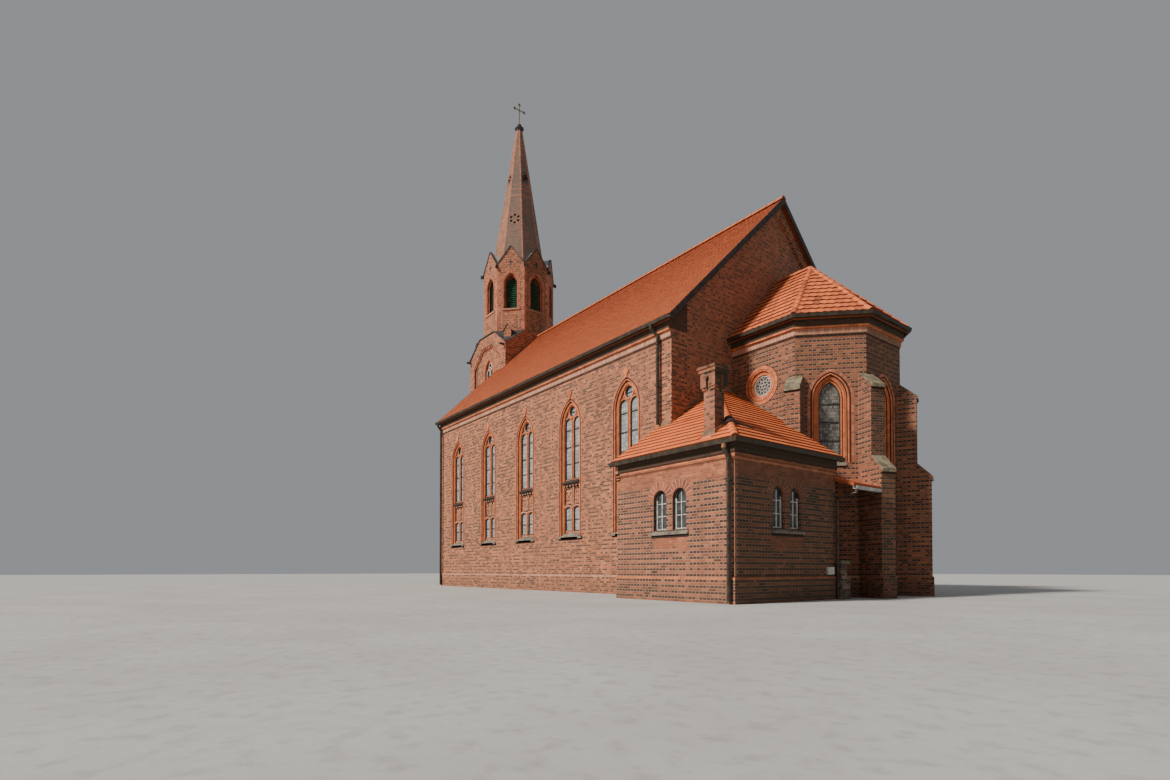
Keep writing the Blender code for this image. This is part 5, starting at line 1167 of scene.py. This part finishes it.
def sacristy_windows():
    """Pairs of round-headed lights in white frames, each pair on one cement sill."""
    w = Windows()
    half, foot = SAC_LIGHT[:2]
    for face, centres in ((SAC_FRONT_FACE, SAC_WINDOWS_FRONT), (SAC_EAST_FACE, SAC_WINDOWS_EAST)):
        w.face = face
        for number, c in enumerate(centres):
            head = arch_path(c, *SAC_WINDOW)[1:-1]
            proud = 0.004 - 0.0025 * number
            w.band("arches", head, -PROUD, 0.24, -0.04, proud, 0.085, 0.014)
            w.bead("pale", head, -PROUD / 2, 0.24, -0.04, proud - 0.0008)
            inner = arch_path(c, *SAC_LIGHT)
            # Dark rings round each light outside its white frame: the frame in the shade of its reveal,
            # painted dark
            w.bead("bars", inner, 0.032, 0.075, SAC_FRAME_BACK, -0.075, True)
            w.bead("bars", inner[1:-1], -0.004, 0.034, SAC_FRAME_BACK, -0.083)
            stile = [(c - half, 2.86), (c - half, foot), (c + half, foot), (c + half, 2.86)]
            w.bead("white", stile, -0.026, 0.004, SAC_FRAME_BACK, -0.085)
            w.block("white", (c - 0.014, c + 0.014), (foot, 3.03), (SAC_FRAME_BACK, -0.088))
            for height in SAC_RAILS:
                w.block("white", (c - half, c + half), (height - 0.011, height + 0.011),
                        (SAC_FRAME_BACK, -0.095))
            w.pane(inner, 0.125)
        under, reach = SAC_SILL
        low, high = min(centres) - reach, max(centres) + reach
        slope = [(-0.06, under), (0.065, under), (0.065, under + 0.045), (-0.05, under + 0.14),
                 (-0.06, under + 0.14)]
        w.rail("cement", slope, low, high)
        # A dark strip of painted shadow under the sill
        w.block("shade_strip", (low + 0.01, high - 0.01), (1.772, 1.848), (-0.02, 0.012))
    w.make("sacristy", SACRISTY_GLASS)


def tower_windows():
    """A pair of lights under a roundel high in each free side, the low west window and the west door."""
    w = Windows()
    c = TOWER_HALF
    places = [(face, *TOWER_WINDOW) for face in TOWER_FACES.values()]
    places.append((TOWER_FACES["west"], *WEST_WINDOW))
    for face, sill, spring, back, depth in places:
        w.face = set_back(face, back)
        bead = (0.0, 0.05, -depth - 0.01, -depth + 0.03)
        shape = arch_path(c, 0.56, sill, spring, 0.35)
        w.band("roll", shape, -PROUD, 0.115, -0.03, 0.005)
        # A dark strip of painted shade between the ring and the roll
        w.bead("shade_strip", shape, 0.115, 0.135, -0.03, 0.004)
        w.roll("roll", shape, 0.034, -0.036, -0.032)
        w.roll("roll", arch_path(c, 0.50, sill, spring, 0.35), 0.03, 0.0, -0.09)
        for hand in (-1, 1):
            light = arch_path(c + hand * 0.23, 0.16, sill + 0.15, spring, 0.10)
            w.bead("white", light, *bead, True)
            w.pane(light, depth + 0.06, [sill + rise for rise in TOWER_BARS])
        if spring > EAVE:
            ring = round_path(c, spring + 0.48, 0.13)[:-1]
            w.bead("white", ring, *bead, True)
            w.pane(ring, depth + 0.06)
        slope = [(-depth, sill - 0.06), (PROUD, sill - 0.06), (PROUD, sill - 0.01), (-depth, sill + 0.12)]
        w.rail("cement", slope, c - 0.55, c + 0.55)
    west_door(w)
    w.make("tower", TOWER_GLASS)


def west_door(w):
    """The ring and rolls round the west door, and the straps on it."""
    w.face = set_back(TOWER_FACES["west"], WEST_WINDOW[2])
    c = TOWER_HALF
    half, foot, spring, offset = WEST_DOOR
    w.band("ring", arch_path(c, half, 0.68, spring, offset), -PROUD, 0.12, -0.03, 0.005)
    w.roll("roll", arch_path(c, *WEST_DOOR), 0.05, -0.055, -0.05)
    w.roll("roll", arch_path(c, 1.08, foot, spring, offset), 0.045, 0.0, -0.13)
    straps = Solid()
    face = TOWER_FACES["west"]
    for height in STRAP_HEIGHTS:
        for hand in (-1, 1):
            ends = sorted((c + hand * 0.10, c + hand * 0.86))
            straps.block(face, ends, (height - 0.035, height + 0.035), (-0.455, -0.44))
    straps.block(face, (c - 0.02, c + 0.02), (0.32, 2.9), (-0.455, -0.435))
    straps.make("west_door_ironwork", DARK_LEAD, "lead")


def tower_trim():
    """Copings, corbel tables, corner sheets, pinnacle caps and water spouts round the tower head."""
    lead, corbels, shade_gaps = Solid(), Solid(), Solid()
    c, half = TOWER_HALF, SHOULDER_HALF
    low, high = TOWER_SHOULDER, TOWER_TOP
    back, front = PANEL_BACK, PANEL_BACK + 0.014
    for name, face in TOWER_FACES.items():
        reach = 0.0 if name == "west" else 0.05
        for a, b in (((0.0, low), (c - half, high)), ((2 * c, low), (c + half, high))):
            run = (Vector(b) - Vector(a)).normalized()
            up = Vector((-run.y, run.x)) if run.x > 0 else Vector((run.y, -run.x))
            shape = [Vector(a), Vector(b), Vector(b) + up * 0.06, Vector((a[0], a[1] + 0.06 / abs(run.x)))]
            lead.prism(face, shape, -0.20, reach)
        lead.block(face, (c - half, c + half), (high - 0.02, high + 0.05), (-0.20, reach))
        if name != "west":
            for a in (0.10, 2 * c - 0.20):
                lead.block(face, (a, a + 0.10), (low - 0.17, low - 0.07), (-0.05, 0.30))
        edges = [(c - PANEL_HALF, PANEL_SHOULDER), (c - PANEL_TOP_HALF, PANEL_TOP),
                 (c + PANEL_TOP_HALF, PANEL_TOP), (c + PANEL_HALF, PANEL_SHOULDER)]
        for a, b in zip(edges, edges[1:]):
            a, b = Vector(a), Vector(b)
            count = round((b - a).length / 0.19)
            for i in range(count):
                x, y = a.lerp(b, (i + 0.5) / count)
                corbels.block(face, (x - 0.05, x + 0.05), (y - 0.16, y + 0.05), (back, -0.03))
                corbels.block(face, (x - 0.035, x + 0.035), (y - 0.23, y - 0.16), (back, -0.07))
            # A dark strip of painted shadow under the corbel table
            shade_gaps.prism(face, [a, b, (b.x, b.y - 0.15), (a.x, a.y - 0.15)], back, front)
        for a in (c - PANEL_HALF + 0.16, c + PANEL_HALF - 0.16):
            shade_gaps.block(face, (a - 0.03, a + 0.03), (PANEL_BOTTOM + 0.1, PANEL_SHOULDER - 0.1), (back, front))
    for sx, sy in ((1, -1), (1, 1), (-1, 1), (-1, -1)):
        edge = c - 0.008
        corner = (TOWER_X + sx * edge, sy * edge, low + 0.010)
        tips = [(TOWER_X + sx * x, sy * y, high + 0.004) for x, y in ((half, edge), (edge, half))]
        lead.sheet([corner, *(tips[::-1] if sx * sy < 0 else tips)][::-1], 0.012)
        out = Vector((sx, sy)).normalized()
        along = Vector((-out.y, out.x))
        foot = Vector((TOWER_X, 0.0)) + out * PINNACLE_FACE - along
        face = Face(foot, foot + along)
        for hand in (-1, 1):
            slope = [(1.0, 15.46), (1.0 + hand * 0.26, 15.048), (1.0 + hand * 0.26, 15.088), (1.0, 15.505)]
            lead.prism(face, slope, -0.70, 0.03)
    lead.make("tower_lead_copings", DARK_LEAD, "lead")
    corbels.make("tower_corbel_table", RING_BRICK, "brick")
    shade_gaps.make("tower_corbel_shadows", PAINTED_SHADOW, "brick")


def belfry_trim():
    """Windows, louvres, copings, zinc gablet roofs and spouts of the octagonal belfry."""
    w = Windows()
    louvres, lead, zinc, arrises = Solid(), Solid(), Solid(), Solid()
    ring = octagon(BELFRY)
    foot, peak = GABLET
    half, sill, spring, offset = BELFRY_LIGHT
    for k in range(8):
        face = w.face = Face(ring[k], ring[(k + 1) % 8])
        c = face.length / 2
        edge = arch_path(c, *BELFRY_LIGHT)
        light = arch_path(c, half - 0.12, 16.75, spring, offset)
        w.band("ring", edge, -PROUD, 0.10, -0.03, 0.005)
        w.roll("ring", edge, 0.034, -0.036, -0.034)
        w.roll("ring", light, 0.034, 0.036, -0.14)
        # A dark strip of painted shade deep in the reveal, behind the inner roll
        w.bead("shade_strip", light, -0.004, 0.03, -0.27, -0.17)
        w.block("pale", (c - 0.56, c + 0.56), (16.60, sill + PROUD), (-0.14, 0.06))
        for hand in (-1, 1):
            ends = sorted((c + hand * 0.50, c + hand * 0.55))
            w.block("pale", ends, (15.50, 16.60), (-0.02, 0.015))
        for i in range(LOUVRES):
            height = LOUVRE_FOOT + i * LOUVRE_PITCH
            reach = LOUVRE_HALF
            if height > spring:
                radius = half - 0.12 + offset
                reach = max(0.03, math.sqrt(max(0.0, radius ** 2 - (height - spring) ** 2)) - offset)
            board = [(-0.40, height + 0.10), (-0.28, height), (-0.28, height - 0.018),
                     (-0.40, height + 0.082)]
            louvres.rail(face, board, c - reach, c + reach)
        louvres.block(face, (c - 0.37, c + 0.37), (16.72, 16.76), (-0.42, -0.25))
        for hand in (-1, 1):
            a, b = Vector((c + hand * c, foot)), Vector((c, peak))
            up = Vector((hand * (b.y - a.y), abs(b.x - a.x))).normalized() * 0.055
            lead.prism(face, [a, b, b + up, a + up], -0.10, 0.035)
            plate = [face.point(c + hand * (c - 0.02), foot + 0.02, -0.09), face.point(c, peak, -0.09),
                     face.point(c, peak, -0.68), face.point(c + hand * (c - 0.12), foot + 0.15, -0.52)]
            zinc.sheet(plate[::hand], 0.012)
        lead.block(face, (c - 0.035, c + 0.035), (19.33, 19.72), (-0.02, 0.006))
        lead.block(face, (c - 0.12, c + 0.12), (19.50, 19.58), (-0.02, 0.006))
        corner = Vector((*ring[k], 0.0)) - Vector((TOWER_X, 0.0, 0.0))
        out = corner.normalized()
        side = Vector((-out.y, out.x, 0.0)) * 0.05
        start = Vector((TOWER_X, 0.0, 0.0)) + corner - out * 0.05
        lead.loft([[start + out * reach + side * s + UP * (foot + h + drop)
                    for s, h in ((-1, -0.16), (1, -0.16), (1, 0.02), (-1, 0.02))]
                   for reach, drop in ((0.0, 0.0), (0.24, -0.05))])
        row, height = 0, BELFRY_FOOT
        while height < 19.30:
            reach = 0.20 if row % 2 else 0.10
            for ends in ((0.0, reach), (2 * c - reach, 2 * c)):
                arrises.block(face, ends, (height, height + 3 * COURSE - JOINT), (-0.02, 0.004))
            height += 3 * COURSE
            row += 1
    louvres.make("belfry_louvre_boards", GREEN_PAINT, "green_louvres", ("belfry_louvres",))
    lead.make("gablet_copings", DARK_LEAD, "lead")
    zinc.make("gablet_roof_sheets", GREY_METAL, "zinc")
    arrises.make("belfry_toothed_arrises", RING_BRICK, "brick")
    w.make("belfry")


def spire_ring(share, proud):
    """The corners of the spire at a share of its height."""
    apothem = SPIRE_FOOT[0] + (SPIRE_TIP[0] - SPIRE_FOOT[0]) * share
    height = SPIRE_FOOT[1] + (SPIRE_TIP[1] - SPIRE_FOOT[1]) * share
    return [Vector((x, y, height)) for x, y in octagon(apothem + proud)]


def spire_trim():
    """Toothed bricks up the eight arrises of the spire, and four projecting bands round it."""
    arris, bands = Solid(), Solid()
    for i in range(SPIRE_ROWS):
        rings = spire_ring(i / SPIRE_ROWS, 0.010), spire_ring((i + 0.93) / SPIRE_ROWS, 0.010)
        width = SPIRE_TEETH[i % 2]
        for k in range(8):
            ends = []
            for ring in rings:
                peak = ring[k]
                inward = Vector((TOWER_X, 0.0, peak.z)) - peak
                reach = min(width, inward.length * 0.3)
                a, b = (peak + (ring[(k + turn) % 8] - peak).normalized() * reach for turn in (-1, 1))
                ends.append([a, peak, b, peak + inward.normalized() * 0.06])
            arris.loft(ends)
    for height in SPIRE_BANDS:
        low, high = ((height + h - SPIRE_FOOT[1]) / (SPIRE_TIP[1] - SPIRE_FOOT[1]) for h in (0.0, COURSE))
        rings = [spire_ring(*place) for place in ((low, 0.006), (high, 0.006), (high, -0.03), (low, -0.03))]
        bands.loft([[ring[k] for ring in rings] for k in range(8)], True)
    arris.make("spire_arrises", SPIRE_EDGE, "brick")
    bands.make("spire_bands", SPIRE_EDGE, "brick")


def nave_roof():
    """Tiles on both slopes of the nave, left out where the tower stands, and the ridge."""
    tiles = Solid()
    edge = HALF_WIDTH + OVERHANG
    reach = HALF_LENGTH + VERGE
    notch = TOWER_X + TOWER_HALF
    hidden = (edge - TOWER_HALF) * math.hypot(1.0, NAVE_SLOPE)
    for side in (-1, 1):
        cut = sorted((side * reach * 1.01, -side * notch))
        slope = [(-reach, side * edge), (reach, side * edge), (reach, 0.0), (-reach, 0.0)]
        tiled(tiles, slope[::-side], (0.0, side * edge, EAVE), (-side, 0.0), NAVE_SLOPE, *NAVE_TILE,
              [(*cut, hidden, BEYOND)])
    cap_tiles(tiles, (reach - 0.01, 0.0, RIDGE + 0.02), (notch, 0.0, RIDGE + 0.02), 0.13, 0.36)
    tiles.make("nave_roof_tiles", NAVE_TILES, "roof_tiles")


def chancel_roof():
    """Tiles on the five slopes of the chancel, with its hips and its ridge."""
    tiles = Solid()
    half = CHANCEL_HALF + OVERHANG
    end = CHANCEL_END + OVERHANG
    start = GABLE_FACE + CLEAR
    turn = OVERHANG * math.tan(math.pi / 8)
    ring = [(start, -half), (CHANCEL_CORNER + turn, -half), (end, -CHANCEL_SIDE - turn),
            (end, CHANCEL_SIDE + turn), (CHANCEL_CORNER + turn, half), (start, half)]
    apex = (CHANCEL_END - CHANCEL_HALF, 0.0)
    for k, (a, b) in enumerate(zip(ring, ring[1:])):
        outline = {0: [a, b, apex, (start, 0.0)], 4: [a, b, (start, 0.0), apex]}.get(k, [a, b, apex])
        middle = ((a[0] + b[0]) / 2, (a[1] + b[1]) / 2)
        tiled(tiles, outline, (*middle, EAVE), (b[0] - a[0], b[1] - a[1]), NAVE_SLOPE, *CHANCEL_TILE)
    top = EAVE + NAVE_SLOPE * half + 0.02
    for point in ring[1:5]:
        cap_tiles(tiles, (*point, EAVE + 0.01), (*apex, top), 0.11, 0.34)
    cap_tiles(tiles, (*apex, top), (GABLE_FACE, 0.0, top), 0.12, 0.36)
    tiles.make("chancel_roof_tiles", CHANCEL_TILES, "roof_tiles")


def sacristy_roof():
    """Tiles round the sacristy's hip and over the porch, left out where the chimney stands."""
    tiles = Solid()
    west, east = SAC_WEST - 0.11, SAC_EAST + SAC_OVERHANG
    south, north = SAC_FRONT - SAC_OVERHANG, SAC_NORTH + 0.11
    start, wall = GABLE_FACE + CLEAR, -CHANCEL_HALF - CLEAR
    hip = south + (east - GABLE_FACE)
    level = math.hypot(1.0, SAC_SLOPE)
    left, right, front, back = CHIMNEY_GAP
    stack = [(left, right, (front - south) * level - 0.1, (back - south) * level)]
    turn = (east - (SAC_NAVE_WALL - south), SAC_NAVE_WALL)
    lower = [(west, south), (east, south), turn, (west, SAC_NAVE_WALL)]
    upper = [(start, SAC_NAVE_WALL), turn, (start, hip)]
    side = [(east, south), (east, north), (CHANCEL_CORNER, north), (CHANCEL_CORNER, wall), (start, wall),
            (start, hip)]
    rise = SAC_EAVE + SAC_SLOPE * (SAC_NAVE_WALL - south)
    tiled(tiles, lower, (0.0, south, SAC_EAVE), (1.0, 0.0), SAC_SLOPE, *SAC_TILE, stack)
    tiled(tiles, upper, (0.0, SAC_NAVE_WALL, rise), (1.0, 0.0), SAC_SLOPE, *SAC_TILE)
    tiled(tiles, side, (east, 0.0, SAC_EAVE), (0.0, 1.0), SAC_SLOPE, *SAC_TILE)
    crown = SAC_EAVE + SAC_SLOPE * (hip - south)
    cap_tiles(tiles, (east, south, SAC_EAVE + 0.01), (GABLE_FACE, hip, crown + 0.01), 0.11, 0.33)
    tiles.make("sacristy_roof_tiles", SACRISTY_TILES, "roof_tiles")
    flashings(south, east, hip, crown)


def flashings(south, east, hip, crown):
    """Mortar and lead where the sacristy roof meets the walls and the chimney, and the nave's verges."""
    fillets, lead = Solid(), Solid()
    eave = SAC_EAVE + SAC_SLOPE * (-HALF_WIDTH - south)
    fillets.block(FRONT, (SAC_WEST - 0.08, HALF_LENGTH), (eave - 0.02, eave + 0.10), (0.0, FILLET_OUT))
    foot = SAC_EAVE + SAC_SLOPE * (-5.13 - south)
    bend = [(-5.13, foot), (hip, crown), (-2.66, crown)]
    outline = [(y, h - 0.02) for y, h in bend] + [(y, h + 0.11) for y, h in reversed(bend)]
    fillets.prism(GABLE, outline, 0.0, FILLET_OUT)
    reach = CHANCEL_CORNER - GABLE_FACE
    fall = SAC_SLOPE * reach
    fillets.prism(CHANCEL_FACES[0], [(0.0, crown), (reach, crown - fall), (reach, crown + 0.10 - fall),
                                     (0.0, crown + 0.10)], 0.0, FILLET_OUT)
    west, front, side = CHIMNEY
    low = SAC_EAVE + SAC_SLOPE * (front - south)
    high = low + SAC_SLOPE * side
    for x, out in ((west, -1), (west + side, 1)):
        skirt = [(out * front, low), (out * (front + side), high), (out * (front + side), high + 0.13),
                 (out * front, low + 0.13)]
        fillets.prism(Face((x, 0.0), (x, float(out))), skirt, -0.01, 0.028)
    fillets.block(Face((0.0, front), (1.0, front)), (west - 0.028, west + side + 0.028),
                  (low - 0.03, low + 0.13), (-0.01, 0.03))
    fillets.make("roof_mortar_fillets", FILLET, "stone_floor")
    cap_tiles(lead, *HIP_SHEET, 0.165, 0.30)
    slope = [Vector((x, y, SAC_EAVE + SAC_SLOPE * (east - x) + 0.05)) for x, y in LEAD_STRIP]
    down = Vector((0.05, 0.014, -0.04))
    lead.sheet([slope[0] - down, slope[0] + down, slope[1] + down, slope[1] - down], 0.02)
    edge, notch = HALF_WIDTH + OVERHANG, TOWER_HALF + 0.01
    for out in (1, -1):
        x = out * (HALF_LENGTH + VERGE)
        verge = Face((x, 0.0), (x, float(out)))
        for hand in (-1, 1):
            a, b = Vector((hand * edge, EAVE)), Vector((0.0, RIDGE))
            if out < 0:
                b = Vector((hand * notch, RIDGE - NAVE_SLOPE * notch))
            board = [(a.x, a.y - 0.24), (b.x, b.y - 0.24), (b.x, b.y + 0.03), (a.x, a.y + 0.03)]
            lead.prism(verge, board, -0.02, 0.012)
    lead.make("lead_and_verge_strips", VERGE_METAL, "lead")


WALL_PARTS = {
    "orange": ("orange_string_courses", STRING_BRICK, "brick"),
    "pale": ("pale_string_courses", PINK_BRICK, "brick"),
    # Dark strips of painted shadow beside the courses, under the slabs and between the steps
    "shade_gaps": ("string_shadows", PAINTED_SHADOW, "brick"),
    "slabs": ("weathering_slabs", STONE_SLAB, "stone_floor"),
    "metal": ("pipe_collars", BROWN_METAL, "brown_gutters"),
    "rust": ("rusty_pipe_neck", RUST, "brown_gutters"),
    "box": ("meter_box", WHITE_PAINT, "zinc"),
}


def strings(solids):
    """The courses round the walls, and the sacristy's stepped and quoined front corners."""
    for key, height, flat, module in NAVE_COURSES:
        for face in (FRONT, BACK):
            path = [(-HALF_LENGTH, height), (HALF_LENGTH, height)]
            moulding(solids[key], face, path, flat_section(*flat), module, JOINT)
        wall_courses(solids[key], CHANCEL_PATH, height, flat, module)
    corners = [(SAC_WEST, SAC_FRONT), (SAC_EAST, SAC_FRONT), (SAC_EAST, SAC_NORTH)]
    for key, height, flat, module in SAC_COURSES:
        wall_courses(solids[key], corners, height, flat, module)
    start = SAC_WEST + 0.002
    solids["pale"].block(SAC_FRONT_FACE, (start, STEPPED_CORNER), (3.83, 4.04), (0.0, 0.078))
    # Dark strips of painted shadow between the stepped courses
    for number, height in enumerate(STEPS):
        reach = STEPPED_CORNER + 0.035 * number
        out = 0.02 * number
        solids["shade_gaps"].block(SAC_FRONT_FACE, (start, reach), (height, height + 0.040), (0.0, 0.03 + out))
        solids["orange"].block(SAC_FRONT_FACE, (start, reach), (height - 0.035, height - 0.002),
                               (0.0, 0.02 + out))
    # Pale toothed quoins at the east corner of the front: painted light, for the sunlit edge of the wall
    # there
    row, height = 0, QUOIN_FOOT
    while height < QUOIN_TOP:
        reach = 0.13 if row % 2 else 0.07
        solids["pale"].block(SAC_EAST_FACE, (SAC_FRONT - PROUD, SAC_FRONT + reach),
                             (height, height + COURSE - JOINT), (-0.02, 0.004))
        height += COURSE
        row += 1


def buttress_slabs(solids):
    """Sloping slabs on the set-offs of the buttresses, and the flat slab on the porch pier."""
    slabs, shade_gaps = solids["slabs"], solids["shade_gaps"]
    places = [((CHANCEL_CORNER, -CHANCEL_HALF), -67.5), ((CHANCEL_END, -CHANCEL_SIDE), -22.5),
              ((CHANCEL_END, CHANCEL_SIDE), 22.5), ((CHANCEL_CORNER, CHANCEL_HALF), 67.5)]
    for number, (corner, degrees) in enumerate(places):
        turn = math.radians(degrees)
        run = Vector((math.cos(turn), math.sin(turn)))
        face = Face(corner, (corner[0] + run.x, corner[1] + run.y))
        for depth, low, back, high in BUTTRESS_STAGES if number else BUTTRESS_STAGES[:1]:
            front = depth + 0.05
            shape = [(front - 0.0002, low - 0.10), (front - 0.0002, low + 0.003), (back, high + 0.010),
                     (back, high - 0.02), (front - 0.02, low - 0.03), (front - 0.02, low - 0.10)]
            slabs.prism(face, shape, -0.2503, 0.2503)
            slabs.block(face, (front - 0.02, front + PROUD), (low - 0.10, low + 0.003), (-0.2455, 0.2455))
            # A dark strip of painted shadow under each slab
            shade_gaps.block(face, (depth - 0.01, depth + 0.008), (low - 0.155, low - 0.102), (-0.24, 0.24))
    (west, south), (east, north) = PIER_CAP
    slabs.loft([[Vector((x, y, z)) for x, y in ((west, south), (east, south), (east, north), (west, north))]
                for z in PIER_CAP_HEIGHTS])


def pipe_fittings(solids):
    """Collars on the downpipes, and the neck of the sacristy's; its roof hides the low part of the first."""
    metal = solids["metal"]
    places = [(x, side * (HALF_WIDTH + 0.12), COLLARS) for x, side in NAVE_PIPES]
    places[0] = (*places[0][:2], COLLARS[3:])
    for x, y, heights in [*places, (*SAC_PIPE, COLLARS[:2])]:
        for height in heights:
            metal.tube([(x, y, height), (x, y, height + 0.05)], 0.07, 12)
    solids["rust"].tube([(12.88, -7.978, 4.035), (12.88, -7.978, 3.93)], 0.062, 12)
    metal.tube([(12.88, -7.975, 3.93), (12.95, -7.892, 3.70), (*SAC_PIPE, 3.66)], 0.060, 12)


def wall_trim():
    """Courses, slabs, pipe fittings and the small case on the walls."""
    solids = {key: Solid() for key in WALL_PARTS}
    strings(solids)
    buttress_slabs(solids)
    pipe_fittings(solids)
    solids["box"].block(SAC_EAST_FACE, *CASE, (0.0, 0.05))
    solids["box"].block(SAC_EAST_FACE, *CASE_LID, (0.05, 0.058))
    for key, made in WALL_PARTS.items():
        solids[key].make(*made)


nave_windows()
chancel_windows()
sacristy_windows()
tower_windows()
tower_trim()
belfry_trim()
spire_trim()
nave_roof()
chancel_roof()
sacristy_roof()
wall_trim()
